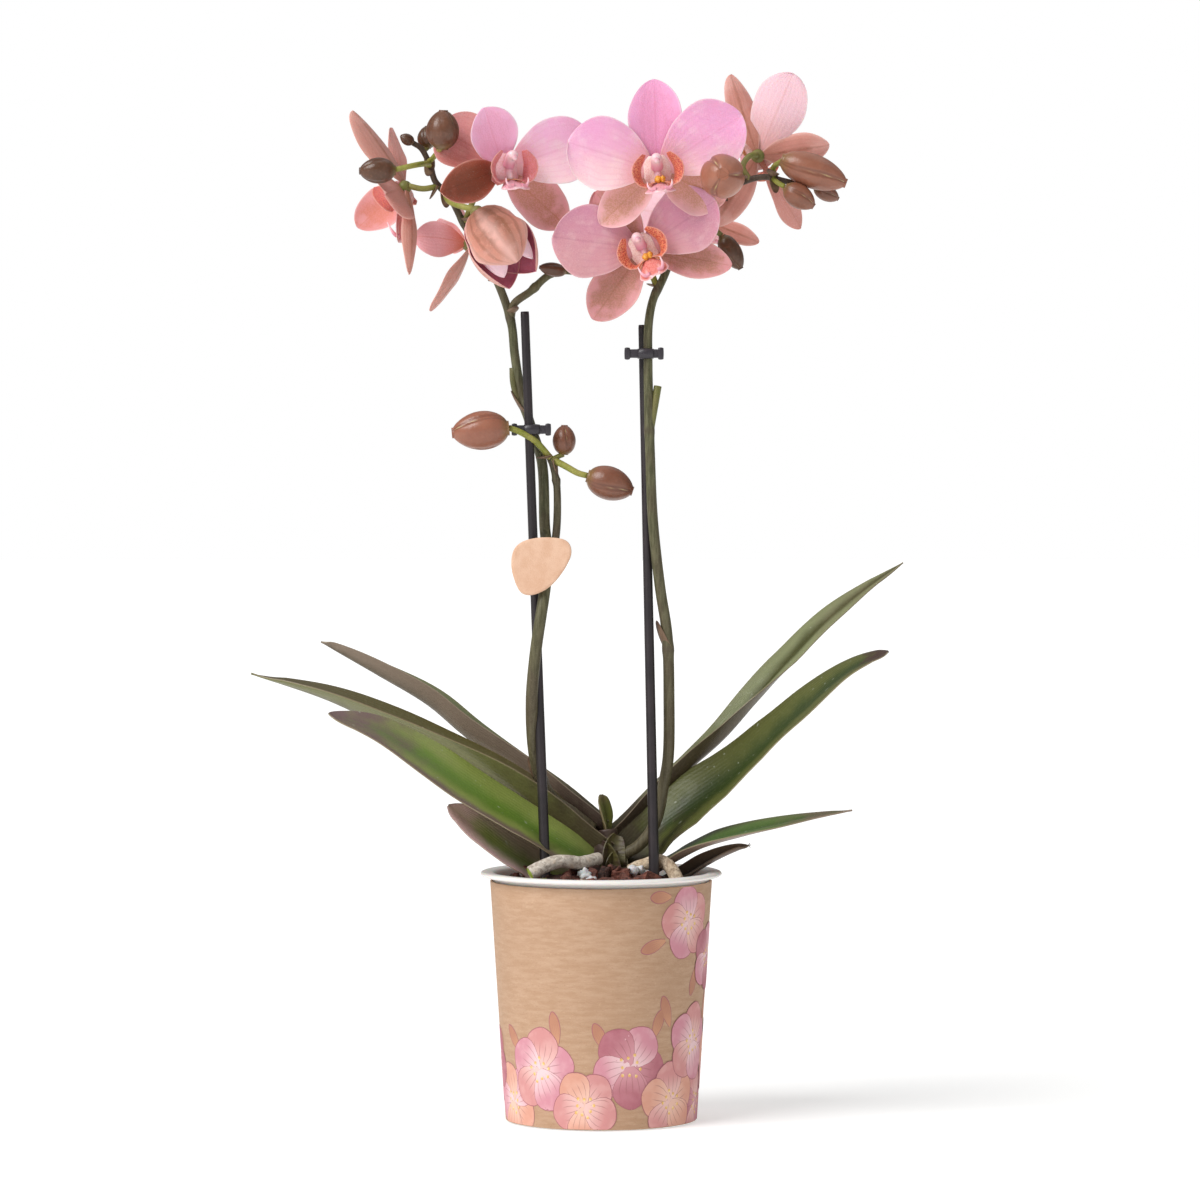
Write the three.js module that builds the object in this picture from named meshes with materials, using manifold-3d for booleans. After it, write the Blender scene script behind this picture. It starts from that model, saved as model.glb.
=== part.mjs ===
// Potted moth orchid, in millimetres, +Z up. The pot's flat base is at z = 0 and the
// pot's axis is the Z axis. The blooms face -Y.
import * as THREE from "three";
import { mergeVertices } from "three/addons/utils/BufferGeometryUtils.js";
import Module from "manifold-3d";

const wasm = await Module();
wasm.setup();

// Driving dimensions: the pot
const POT_HEIGHT = 93;
const RIM_RADIUS = 45;
const POT_TOP_RADIUS = 40.4;
const POT_BASE_RADIUS = 34.6;
const POT_WALL = 1.3;
const RIM_LIP = 1.8;
const WRAP_WALL = 0.7;
const WRAP_TOP = 89.5;
const WRAP_BOTTOM = 0.5;
const POT_SEGMENTS = 24;
const DRAIN_RADIUS = 3.5;
const DRAIN_CIRCLE = 22;
const BARK_LEVEL = 86.5;
const BARK_MOUND = 5;

// Driving dimensions: the plant
const GAP = 0.35;
const LEAF_THICK = 1.5;
const TEPAL_THICK = 0.8;
const LIP_THICK = 0.8;
const STAKE_RADIUS = 1.95;
const RECEPTACLE = 2.6;
const CLAW = 1.1;

const RAD = Math.PI / 180;
const UP = new THREE.Vector3(0, 0, 1);
const scene = new THREE.Group();

const point = (p) => new THREE.Vector3(p[0], p[1], p[2]);
const mix = (a, b, s) => a + (b - a) * s;
const clamp = (x, low, high) => Math.min(high, Math.max(low, x));

// Seeded numbers from 0 to 1, so that the bark falls the same way each time
function seeded(seed) {
  let state = seed;
  return () => {
    state = (state * 1664525 + 1013904223) % 4294967296;
    return state / 4294967296;
  };
}

// Solids: closed meshes that can be joined and cut
function solidFrom(points, triangles) {
  const vertProperties = new Float32Array(points.flatMap((p) => [p.x, p.y, p.z]));
  const triVerts = new Uint32Array(triangles.flat());
  return new wasm.Manifold(new wasm.Mesh({ numProp: 3, vertProperties, triVerts }));
}

function solidOf(geometry) {
  const bare = geometry.clone();
  bare.deleteAttribute("normal");
  bare.deleteAttribute("uv");
  const merged = mergeVertices(bare, 1e-3);
  const vertProperties = new Float32Array(merged.attributes.position.array);
  const triVerts = new Uint32Array(merged.index.array);
  return new wasm.Manifold(new wasm.Mesh({ numProp: 3, vertProperties, triVerts }));
}

function joined(solids) {
  return solids.reduce((all, solid) => all.add(solid));
}

// The largest piece that is left once the neighbours are cut away
function clearOf(solid, neighbours) {
  const cut = neighbours.reduce((rest, other) => rest.subtract(other), solid);
  const pieces = cut.decompose();
  return pieces.reduce((best, piece) => (piece.volume() > best.volume() ? piece : best));
}

function addNode(name, solid, colour, roughness) {
  const mesh = solid.getMesh();
  const geometry = new THREE.BufferGeometry();
  const position = new THREE.Float32BufferAttribute(mesh.vertProperties, 3);
  geometry.setAttribute("position", position);
  geometry.setIndex(Array.from(mesh.triVerts));
  geometry.computeVertexNormals();
  const material = new THREE.MeshStandardMaterial({ color: colour, roughness, metalness: 0 });
  const node = new THREE.Mesh(geometry, material);
  node.name = name;
  scene.add(node);
}

// Blades: a sheet of rows of points, thickened both ways along its own normal
function sheetNormal(rows, i, j) {
  const rowBefore = rows[Math.max(i - 1, 0)][j];
  const rowAfter = rows[Math.min(i + 1, rows.length - 1)][j];
  const before = rows[i][Math.max(j - 1, 0)];
  const after = rows[i][Math.min(j + 1, rows[i].length - 1)];
  const along = rowAfter.clone().sub(rowBefore);
  const across = after.clone().sub(before);
  return along.cross(across).normalize();
}

function pushed(p, from, distance) {
  return p.clone().add(p.clone().sub(from).normalize().multiplyScalar(distance));
}

function grownRows(rows, grow) {
  if (grow === 0) return rows;
  const wide = rows.map((row) => {
    const last = row.length - 1;
    const copy = row.slice();
    copy[0] = pushed(row[0], row[1], grow);
    copy[last] = pushed(row[last], row[last - 1], grow);
    return copy;
  });
  const end = wide.length - 1;
  const first = wide[0].map((p, j) => pushed(p, wide[1][j], grow));
  const last = wide[end].map((p, j) => pushed(p, wide[end - 1][j], grow));
  return [first, ...wide.slice(1, end), last];
}

function bladeSolid(sheet, thickness, grow = 0) {
  const rows = grownRows(sheet, grow);
  const m = rows.length;
  const n = rows[0].length;
  const half = thickness / 2 + grow;
  const points = [];
  for (const sign of [1, -1]) {
    for (let i = 0; i < m; i += 1) {
      for (let j = 0; j < n; j += 1) {
        const normal = sheetNormal(rows, i, j);
        points.push(rows[i][j].clone().addScaledVector(normal, sign * half));
      }
    }
  }
  const front = (i, j) => i * n + j;
  const back = (i, j) => m * n + i * n + j;
  const triangles = [];
  const quad = (a, b, c, d) => triangles.push([a, b, c], [a, c, d]);
  for (let i = 0; i < m - 1; i += 1) {
    for (let j = 0; j < n - 1; j += 1) {
      quad(front(i, j), front(i + 1, j), front(i + 1, j + 1), front(i, j + 1));
      triangles.push([back(i, j), back(i + 1, j + 1), back(i + 1, j)]);
      triangles.push([back(i, j), back(i, j + 1), back(i + 1, j + 1)]);
    }
    quad(front(i, 0), back(i, 0), back(i + 1, 0), front(i + 1, 0));
    quad(front(i + 1, n - 1), back(i + 1, n - 1), back(i, n - 1), front(i, n - 1));
  }
  for (let j = 0; j < n - 1; j += 1) {
    quad(front(0, j + 1), back(0, j + 1), back(0, j), front(0, j));
    quad(front(m - 1, j), back(m - 1, j), back(m - 1, j + 1), front(m - 1, j + 1));
  }
  return solidFrom(points, triangles);
}

// Rods: rings along a curve, with flat ends; radiusAt gives the radius along it
function rodSolid(curve, radiusAt, steps, sides, grow = 0) {
  const points = [];
  const triangles = [];
  const start = curve.getTangentAt(0);
  const hint = Math.abs(start.x) < 0.8 ? point([1, 0, 0]) : point([0, 1, 0]);
  let side = hint.clone().addScaledVector(start, -hint.dot(start)).normalize();
  for (let i = 0; i <= steps; i += 1) {
    const s = i / steps;
    const tangent = curve.getTangentAt(s);
    side = side.addScaledVector(tangent, -side.dot(tangent)).normalize();
    const other = tangent.clone().cross(side);
    const centre = curve.getPointAt(s);
    if (i === 0) centre.addScaledVector(tangent, -grow);
    if (i === steps) centre.addScaledVector(tangent, grow);
    for (let k = 0; k < sides; k += 1) {
      const angle = (2 * Math.PI * k) / sides;
      const radius = radiusAt(s) + grow;
      const p = centre.clone().addScaledVector(side, radius * Math.cos(angle));
      points.push(p.addScaledVector(other, radius * Math.sin(angle)));
    }
  }
  const at = (i, k) => i * sides + (k % sides);
  for (let i = 0; i < steps; i += 1) {
    for (let k = 0; k < sides; k += 1) {
      triangles.push([at(i, k), at(i, k + 1), at(i + 1, k + 1)]);
      triangles.push([at(i, k), at(i + 1, k + 1), at(i + 1, k)]);
    }
  }
  for (let k = 1; k < sides - 1; k += 1) {
    triangles.push([at(0, 0), at(0, k + 1), at(0, k)]);
    triangles.push([at(steps, 0), at(steps, k), at(steps, k + 1)]);
  }
  return solidFrom(points, triangles);
}

function curveThrough(points) {
  return new THREE.CatmullRomCurve3(points.map(point), false, "centripetal");
}

function taperedRod(points, startRadius, endRadius, steps, sides, grow = 0) {
  const radiusAt = (s) => mix(startRadius, endRadius, s * s);
  return rodSolid(curveThrough(points), radiusAt, steps, sides, grow);
}

// An egg shape from its stalk end to its tip, for buds and receptacles
function eggSolid(from, to, radius, grow = 0, steps = 5, sides = 7) {
  const curve = new THREE.LineCurve3(point(from), point(to));
  const swell = (s) => Math.sin(Math.PI * clamp(s, 0.03, 0.97) ** 0.85) ** 0.52;
  const radiusAt = (s) => Math.max(radius * swell(s), 0.5);
  return rodSolid(curve, radiusAt, steps, sides, grow);
}

function boxSolid(size, centre, turn = 0) {
  const geometry = new THREE.BoxGeometry(size[0], size[1], size[2]);
  geometry.rotateZ(turn);
  geometry.translate(centre[0], centre[1], centre[2]);
  return solidOf(geometry);
}

// Sheets that leaves, tepals and lip lobes share
function tipStations(count) {
  return Array.from({ length: count + 1 }, (_, k) => Math.sin((Math.PI * k) / (2 * count)));
}

function sheetRows({ curveAt, sideAt, sectionAt, stations, columns }) {
  return stations.map((s) => {
    const ahead = curveAt(Math.min(s + 0.01, 1));
    const tangent = ahead.sub(curveAt(Math.max(s - 0.01, 0))).normalize();
    const normal = tangent.clone().cross(sideAt(s, tangent)).normalize();
    const side = normal.clone().cross(tangent);
    const row = [];
    for (let j = 0; j <= columns; j += 1) {
      const [along, lift] = sectionAt(s, (2 * j) / columns - 1);
      row.push(curveAt(s).addScaledVector(side, along).addScaledVector(normal, lift));
    }
    return row;
  });
}

// Leaves: a midrib curve, a folded section that opens at the tip, and a roll of the
// upper face to -Y
function leafWidth(s, leaf) {
  const sheath = leaf.sheath * Math.max(0, 1 - s / 0.18) ** 2;
  const rise = Math.sin((Math.PI / 2) * Math.min(1, s / leaf.peak)) ** 1.3;
  if (s < leaf.peak) return sheath + mix(leaf.foot, 1, rise);
  return Math.cos((Math.PI / 2) * ((s - leaf.peak) / (1 - leaf.peak))) ** leaf.taper;
}

function leafSheet(leaf) {
  const curve = curveThrough(leaf.spine);
  const front = point([0, -1, 0]);
  const sideAt = (s, tangent) => {
    const up = UP.clone().addScaledVector(tangent, -UP.dot(tangent)).normalize();
    const toFront = front.clone().addScaledVector(tangent, -front.dot(tangent));
    toFront.addScaledVector(up, -toFront.dot(up)).normalize();
    const roll = mix(leaf.roll[0], leaf.roll[1], s) * RAD;
    const upper = up.multiplyScalar(Math.cos(roll)).addScaledVector(toFront, Math.sin(roll));
    return upper.cross(tangent);
  };
  const sectionAt = (s, t) => {
    const half = Math.max(0.9, (leaf.width / 2) * leafWidth(s, leaf));
    const tip = Math.min(1, leaf.blunt * (1 - s));
    const [shut, open] = leaf.opens;
    const opened = clamp((s - shut) / (open - shut), 0, 1);
    const fold = mix(leaf.fold[0], leaf.fold[1], opened) * tip * RAD;
    const bend = Math.sqrt(t * t + 0.04) - 0.2;
    return [half * t * Math.cos(fold), half * bend * Math.sin(fold)];
  };
  const curveAt = (s) => curve.getPointAt(s);
  return sheetRows({ curveAt, sideAt, sectionAt, stations: tipStations(leaf.steps), columns: 4 });
}

// Tepals: each grows out from the bloom's centre, swept forward and cupped
function bloomFrame(bloom) {
  const turn = bloom.turn * RAD;
  const lift = bloom.lift * RAD;
  const flat = point([Math.sin(turn), -Math.cos(turn), 0]);
  const front = flat.multiplyScalar(Math.cos(lift)).addScaledVector(UP, Math.sin(lift));
  const right = point([Math.cos(turn), Math.sin(turn), 0]);
  const up = front.clone().cross(right);
  const roll = (bloom.roll ?? 0) * RAD;
  const turnedRight = right.clone().multiplyScalar(Math.cos(roll)).addScaledVector(up, Math.sin(roll));
  const turnedUp = up.clone().multiplyScalar(Math.cos(roll)).addScaledVector(right, -Math.sin(roll));
  return { centre: point(bloom.at), right: turnedRight, up: turnedUp, front };
}

function placed(frame, p) {
  const out = frame.centre.clone().addScaledVector(frame.right, p[0]);
  return out.addScaledVector(frame.up, p[1]).addScaledVector(frame.front, p[2]);
}

const TEPAL_SHAPES = {
  petal: (s, late = 1.4) => Math.sin(Math.PI * s ** late) ** 0.52,
  sepal: (s, late = 1.2) => Math.sin(Math.PI * s ** late) ** 0.56,
};
const TEPAL_LAYERS = { petal: 0.5, sepal: -0.7 };
const TEPAL_STEPS = 5;
const TEPAL_COLUMNS = { petal: 4, sepal: 2 };

function tepalSheet(frame, tepal) {
  const angle = tepal.angle * RAD;
  const outward = frame.right.clone().multiplyScalar(Math.cos(angle));
  outward.addScaledVector(frame.up, Math.sin(angle));
  const side = frame.front.clone().cross(outward);
  const [from, to] = tepal.sweep.map((degrees) => degrees * RAD);
  const start = frame.centre.clone().addScaledVector(outward, CLAW);
  start.addScaledVector(frame.front, TEPAL_LAYERS[tepal.kind]);
  const reach = tepal.length - CLAW;
  const curveAt = (s) => {
    const p = start.clone();
    const parts = 12;
    for (let k = 0; k < parts; k += 1) {
      const sweep = mix(from, to, (s * (k + 0.5)) / parts);
      p.addScaledVector(outward, (reach * s * Math.cos(sweep)) / parts);
      p.addScaledVector(frame.front, (reach * s * Math.sin(sweep)) / parts);
    }
    return p;
  };
  const shape = TEPAL_SHAPES[tepal.kind];
  const sectionAt = (s, t) => {
    const bare = shape(clamp(s, 0, 0.9999), tepal.late);
    const half = Math.max(s < 0.5 ? 1.1 : 0.8, (tepal.width / 2) * bare);
    const cup = (tepal.cup ?? 20) * RAD * Math.min(1, s * 3) || 1e-3;
    return [(half / cup) * Math.sin(cup * t), (half / cup) * (1 - Math.cos(cup * t))];
  };
  const twist = (tepal.twist ?? 0) * RAD;
  const sideAt = (s, tangent) => side.clone().applyAxisAngle(tangent, twist * s);
  const columns = tepal.columns ?? TEPAL_COLUMNS[tepal.kind];
  const steps = columns === 2 ? TEPAL_STEPS - 1 : TEPAL_STEPS;
  return sheetRows({ curveAt, sideAt, sectionAt, stations: tipStations(steps), columns });
}

// Lips: two raised side lobes, a forward mid lobe with two tendrils, and the column
function lobeSheet(frame, lobe) {
  const curve = new THREE.CatmullRomCurve3(lobe.spine.map((p) => placed(frame, p)));
  const side = lobe.side.map((p) => placed(frame, p).sub(frame.centre));
  const sideAt = (s) => side[0].clone().lerp(side[1], s);
  const sectionAt = (s, t) => {
    const half = lobe.half(s);
    const cup = lobe.cup * RAD;
    return [(half / cup) * Math.sin(cup * t), (half / cup) * (1 - Math.cos(cup * t))];
  };
  const curveAt = (s) => curve.getPointAt(s);
  const stations = tipStations(lobe.steps);
  return sheetRows({ curveAt, sideAt, sectionAt, stations, columns: lobe.columns });
}

function lipParts(frame, lip) {
  const forward = lip.forward ?? 12;
  const drop = lip.drop ?? 8;
  const sideHalf = (s) => Math.max(0.7, 3.4 * Math.sin(Math.PI * (0.12 + 0.8 * s)) ** 0.7);
  const midHalf = (s) => {
    const swell = Math.sin(Math.PI * clamp(s, 0, 0.98) ** 1.7) ** 0.8;
    return Math.max(0.6, 1.6 + 4.6 * swell);
  };
  const lobes = [-1, 1].map((hand) => ({
    spine: [
      [hand * 0.5, -4.4, 3.4],
      [hand * 5.2, -4.8, 4.6],
      [hand * 7.2, 0.6, 6.4],
      [hand * 4.4, 6, 7.6],
    ],
    side: [[hand * 0.2, 0.2, 1], [hand * 0.8, 0.2, 0.7]],
    half: sideHalf,
    cup: hand * 24,
    steps: 3,
    columns: 2,
  }));
  lobes.push({
    spine: [
      [0, -3.4, 3.4],
      [0, -5.2, forward * 0.45],
      [0, -drop * 0.8, forward * 0.8],
      [0, -drop, forward],
    ],
    side: [[1, 0, 0], [1, 0, 0]],
    half: midHalf,
    cup: -34,
    steps: 3,
    columns: 2,
  });
  return lobes;
}

function columnParts(frame, grow = 0) {
  const rodThrough = (spine, radiusAt, steps, sides) => {
    const points = spine.map((p) => placed(frame, p));
    return rodSolid(new THREE.CatmullRomCurve3(points), radiusAt, steps, sides, grow);
  };
  const head = [[0, 0.6, 3], [0, 2.6, 4.6], [0, 4.2, 6.6], [0, 3.6, 8.8]];
  const foot = [[0, 1.4, 3.9], [0, -1.6, 3.4], [0, -4.4, 3.9]];
  return [
    rodThrough(head, (s) => (s > 0.9 ? 1.1 : mix(2.2, 2, s)), 3, 6),
    rodThrough(foot, () => 1.3, 1, 4),
  ];
}

function tendrils(frame, lip) {
  const forward = lip.forward ?? 12;
  const drop = lip.drop ?? 8;
  return [-1, 1].map((hand) => {
    const spine = [
      [hand * 0.4, -drop * 0.92, forward * 0.92],
      [hand * 1.8, -drop - 2, forward + 0.6],
      [hand * 4.4, -drop - 1.6, forward - 1.4],
    ];
    return taperedRod(spine.map((p) => placed(frame, p).toArray()), 0.6, 0.35, 2, 3);
  });
}

function receptacleEgg(frame, grow = 0) {
  const from = placed(frame, [0, 0, -RECEPTACLE]).toArray();
  const to = placed(frame, [0, 0, 2.4]).toArray();
  return eggSolid(from, to, RECEPTACLE, grow, 4, 6);
}

// Each bloom is a body of five tepals and a body of lip and column in front of it
const STANDARD_TEPALS = {
  dorsal: { kind: "sepal", angle: 90, length: 33, width: 20, sweep: [0, 12], cup: 22 },
  left_petal: { kind: "petal", angle: 158, length: 34, width: 27, sweep: [6, 6], cup: 14 },
  right_petal: { kind: "petal", angle: 22, length: 34, width: 27, sweep: [6, 6], cup: 14 },
  left_sepal: { kind: "sepal", angle: 222, length: 31, width: 17, sweep: [-4, 8], cup: 22 },
  right_sepal: { kind: "sepal", angle: 318, length: 31, width: 17, sweep: [-4, 8], cup: 22 },
};

const BLOOMS = [
  {
    name: "bloom_a",
    at: [20.5, -24, 352.4],
    turn: 2,
    lift: -2,
    roll: 7,
    colour: 0xf2bdd6,
    tepals: {
      dorsal: { angle: 85, length: 33.2, width: 21, sweep: [4, -4] },
      left_petal: { angle: 156, length: 34.5, width: 28 },
      right_petal: { angle: 26, length: 37, width: 28 },
      left_sepal: { angle: 217, length: 29, width: 16, sweep: [-14, -4] },
      right_sepal: { angle: 331, length: 28, width: 22, sweep: [-10, -6] },
    },
  },
  {
    name: "bloom_b",
    at: [15.4, -14, 324],
    turn: -3,
    lift: 0,
    roll: 27,
    colour: 0xd79bab,
    lip: { drop: 11.5, tendrils: false },
    tepals: {
      dorsal: { angle: 103, length: 28, width: 18, sweep: [-4, -12] },
      left_petal: { angle: 146, length: 34.5, width: 28, sweep: [14, 20] },
      right_petal: { angle: 6, length: 32.5, width: 26, sweep: [10, 6] },
      left_sepal: { angle: 208, length: 32, width: 19 },
      right_sepal: { angle: 322, length: 33.5, width: 15 },
    },
  },
  {
    name: "bloom_c",
    at: [-35.4, -16, 353.6],
    turn: 27,
    lift: 0,
    roll: 2,
    colour: 0xe7b0cb,
    lip: { tendrils: false },
    tepals: {
      dorsal: { angle: 112, length: 24, width: 21, sweep: [4, 12] },
      left_petal: { angle: 143, length: 29, width: 24, sweep: [-22, -34], late: 1.8 },
      right_petal: { angle: 18, length: 34, width: 26, sweep: [16, 20] },
      left_sepal: { angle: 196, length: 35, width: 17, sweep: [10, 30], cup: 40 },
      right_sepal: { angle: 317, length: 32, width: 20, sweep: [0, 10] },
    },
  },
  {
    name: "bloom_d",
    at: [-73, 0, 347.1],
    turn: -122,
    lift: -37,
    roll: 0,
    colour: 0xc98d80,
    lip: { forward: 14, drop: 15, tendrils: false },
    tepals: {
      dorsal: { angle: 85, length: 36, width: 19, sweep: [-4, 4], cup: 30 },
      left_petal: { angle: 125, length: 38, width: 8.5, sweep: [0, 4], columns: 2 },
      right_petal: { angle: -15, length: 18, width: 26, sweep: [-10, 2] },
      left_sepal: { angle: 150, length: 33, width: 16, sweep: [58, 92] },
      right_sepal: { angle: 293, length: 38, width: 8, sweep: [6, 30], cup: 34 },
    },
  },
  {
    name: "bloom_e",
    columns: 2,
    at: [-49.9, 18, 326.5],
    turn: -100,
    lift: 0,
    roll: 0,
    colour: 0xc98d80,
    lip: null,
    tepals: {
      dorsal: { angle: 88, length: 16, width: 11, sweep: [0, 30] },
      left_petal: { angle: 150, length: 19, width: 15, sweep: [40, 70] },
      right_petal: { angle: 20, length: 21, width: 15, sweep: [50, 84] },
      left_sepal: { angle: 238, length: 25, width: 13, sweep: [20, 40] },
      right_sepal: { angle: 290, length: 30, width: 13, sweep: [14, 42] },
    },
  },
  {
    name: "bloom_f",
    columns: 2,
    at: [-45.6, -15, 337.2],
    turn: 60,
    lift: -50,
    roll: 60,
    colour: 0xd9aaa0,
    lip: null,
    tepals: {
      dorsal: { angle: 90, length: 35, width: 29, sweep: [30, 116], cup: 66 },
      left_petal: { angle: 162, length: 31, width: 25, sweep: [40, 118], cup: 60 },
      right_petal: { angle: 18, length: 31, width: 25, sweep: [40, 118], cup: 60 },
      left_sepal: { angle: 234, length: 35, width: 29, sweep: [30, 116], cup: 66 },
      right_sepal: { angle: 306, length: 35, width: 29, sweep: [30, 116], cup: 66 },
    },
  },
  {
    name: "bloom_g",
    at: [58.2, 0, 358.8],
    turn: 172,
    lift: 4,
    roll: 82,
    colour: 0xe3b3b8,
    lip: { tendrils: false },
    tepals: {
      dorsal: { angle: 90, length: 27, width: 13, sweep: [8, 16] },
      left_petal: { angle: 159, length: 32, width: 9, sweep: [8, 20], twist: -40, late: 2, columns: 2 },
      right_petal: { angle: 31, length: 33.5, width: 21, sweep: [4, 10] },
      left_sepal: { angle: 221, length: 31, width: 14, sweep: [0, 10] },
      right_sepal: { angle: 348, length: 33, width: 11, sweep: [8, 20], twist: 30 },
    },
  },
  {
    name: "bloom_h",
    columns: 2,
    at: [38.5, 24, 336.1],
    turn: 168,
    lift: -4,
    roll: -10,
    colour: 0xd9a0a8,
    lip: { tendrils: false },
    tepals: {
      dorsal: { angle: 90, length: 24, width: 16 },
      left_petal: { angle: 170, length: 12, width: 11 },
      right_petal: { angle: 20, length: 28, width: 22 },
      left_sepal: { angle: 212, length: 23, width: 8 },
      right_sepal: { angle: 300, length: 17, width: 12 },
    },
  },
];

function tepalsOf(bloom) {
  const shared = bloom.columns ? { columns: bloom.columns } : {};
  const whole = ([name, own]) => ({ ...STANDARD_TEPALS[name], ...own, ...shared });
  return Object.entries(bloom.tepals).map(whole);
}

function bloomBody(bloom, grow = 0) {
  const frame = bloomFrame(bloom);
  const blades = tepalsOf(bloom).map((tepal) => bladeSolid(tepalSheet(frame, tepal), TEPAL_THICK, grow));
  return joined([receptacleEgg(frame, grow), ...blades]);
}

function lipBody(bloom, grow = 0) {
  const frame = bloomFrame(bloom);
  const lip = bloom.lip ?? {};
  const lobes = lipParts(frame, lip).map((lobe) => bladeSolid(lobeSheet(frame, lobe), LIP_THICK, grow));
  const hairs = lip.tendrils === false ? [] : tendrils(frame, lip);
  return joined([...columnParts(frame, grow), ...lobes, ...hairs]);
}

const bloomsMade = [];
for (const bloom of BLOOMS) {
  const neighbours = bloomsMade.flatMap((made) => [made.fat, made.lipFat].filter(Boolean));
  const body = clearOf(bloomBody(bloom), neighbours);
  const fat = bloomBody(bloom, GAP);
  addNode(bloom.name, body, bloom.colour, 0.6);
  const made = { fat, lipFat: null };
  if (bloom.lip !== null) {
    addNode(bloom.name + "_lip", clearOf(lipBody(bloom), [fat, ...neighbours]), 0xe0705e, 0.5);
    made.lipFat = lipBody(bloom, GAP);
  }
  bloomsMade.push(made);
}
const bloomCutters = bloomsMade.flatMap((made) => [made.fat, made.lipFat].filter(Boolean));

// Stakes: straight rods from the bark to just over the clips
const STAKES = [
  { name: "stake_left", from: [-19.6, -15, 66], to: [-28.3, -4, 301] },
  { name: "stake_right", from: [20.2, -15.5, 66], to: [15.4, -2, 296.1] },
];

function stakeRod(stake, grow = 0) {
  const curve = new THREE.LineCurve3(point(stake.from), point(stake.to));
  return rodSolid(curve, (s) => STAKE_RADIUS - 0.35 * s, 1, 10, grow);
}

function stakeAt(stake, z) {
  return point(stake.from).lerp(point(stake.to), (z - stake.from[2]) / (stake.to[2] - stake.from[2]));
}

const stakesFat = STAKES.map((stake) => stakeRod(stake, GAP));
for (const stake of STAKES) addNode(stake.name, stakeRod(stake), 0x3c3638, 0.45);

// Crown: the stump that carries the leaves
const CROWN_SPINE = [[5.5, 0, 64], [5, 1, 80], [4, 2, 94], [2.5, 4, 108]];
const crownRod = (grow = 0) =>
  rodSolid(curveThrough(CROWN_SPINE), (s) => mix(6.2, 3.6, s), 4, 9, grow);
addNode("crown", crownRod(), 0x6e6a3c, 0.7);
const crownFat = crownRod(GAP);

// Leaves, the uppermost first
const LEAF_DEFAULTS = { sheath: 0, steps: 8, opens: [0, 1], blunt: 12 };
const LEAVES = [
  {
    name: "leaf_new",
    spine: [[2, 4, 107], [1, 4.4, 114], [0.2, 5, 121]],
    width: 9, foot: 0.7, peak: 0.5, taper: 0.42,
    fold: [24, 16], roll: [0, 0], colour: 0x7c8440, steps: 4,
  },
  {
    name: "leaf_left_1",
    spine: [
      [0, 8, 106], [-10, 11, 113.5], [-21, 15, 121.5], [-51, 21, 142.5], [-65, 25, 154],
      [-84, 30, 165], [-106, 35, 177],
    ],
    width: 18.4, foot: 0.85, peak: 0.35, taper: 0.5,
    fold: [66, 60], roll: [-6, -6], blunt: 30, colour: 0x6b5a4c,
  },
  {
    name: "leaf_left_2",
    spine: [
      [1, 3, 97], [-10, 3.5, 104.5], [-20, 4, 112], [-38, 5, 123], [-60, 7, 135],
      [-80, 8.5, 146], [-102, 10, 156.5], [-131, 12, 166],
    ],
    width: 32, foot: 0.6, peak: 0.4, taper: 0.75,
    fold: [64, 18], roll: [0, 4], colour: 0x4c5426,
  },
  {
    name: "leaf_left_3",
    spine: [
      [-2, -3, 93], [-10, -4.5, 99.5], [-20, -6, 105.5], [-34, -10.5, 114], [-50, -15.5, 124.5],
      [-64, -19, 134.5], [-82, -23.5, 146], [-100, -28, 153],
    ],
    width: 28.5, foot: 0.56, peak: 0.5, taper: 0.5,
    fold: [16, 6], roll: [42, 26], colour: 0x55652a,
  },
  {
    name: "leaf_left_4",
    spine: [
      [-4, -3, 88], [-14, -2, 89.2], [-24, -4, 93], [-30, -7, 96.6], [-37, -11, 101.6],
      [-45, -14, 108.6], [-56.5, -16, 118.4],
    ],
    width: 26, foot: 0.6, peak: 0.5, taper: 0.6,
    fold: [20, 16], roll: [44, 42], colour: 0x5e4b40, steps: 7,
  },
  {
    name: "leaf_right_1",
    spine: [
      [4.5, 8, 100], [18.3, 15, 117.5], [35.2, 18, 132], [46.5, 20, 142], [57.5, 22, 154.5],
      [71, 25, 170], [85, 28, 184.5], [99, 32, 196], [114.3, 35, 207],
    ],
    width: 17, foot: 0.38, peak: 0.6, taper: 0.85, sheath: 0.8,
    fold: [70, 18], roll: [0, 24], opens: [0.3, 0.64], colour: 0x5f5f3a,
  },
  {
    name: "leaf_right_2",
    spine: [
      [8, 4, 96], [20, 9, 106], [35, 7, 116.5], [48, 3, 126.2], [61, -2, 138.8], [74, -7, 151.8],
      [92, -12, 167.6], [105.8, -16, 175],
    ],
    width: 34, foot: 0.52, peak: 0.34, taper: 0.32,
    fold: [24, 8], roll: [50, 15], blunt: 30, colour: 0x4f5a26,
  },
  {
    name: "leaf_right_3",
    spine: [
      [10, 1, 87], [19, 2.5, 91.5], [29, -3, 98], [38.5, -8.5, 103.2], [52, -14.5, 107.6],
      [65, -20, 111.2], [79, -23.5, 114.8], [92.3, -26, 117.4],
    ],
    width: 20, foot: 0.55, peak: 0.35, taper: 0.9,
    fold: [20, 10], roll: [16, 12], colour: 0x4d5f27, steps: 7,
  },
  {
    name: "leaf_right_4",
    spine: [
      [13, 3, 84.5], [25.8, 4, 88], [32.5, 4.5, 91], [39, 5, 95], [46.5, 5.5, 98.8],
      [55, 6, 102],
    ],
    width: 10, foot: 0.6, peak: 0.5, taper: 0.5,
    fold: [30, 50], roll: [20, 30], colour: 0x4a3a30, steps: 6,
  },
];

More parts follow.
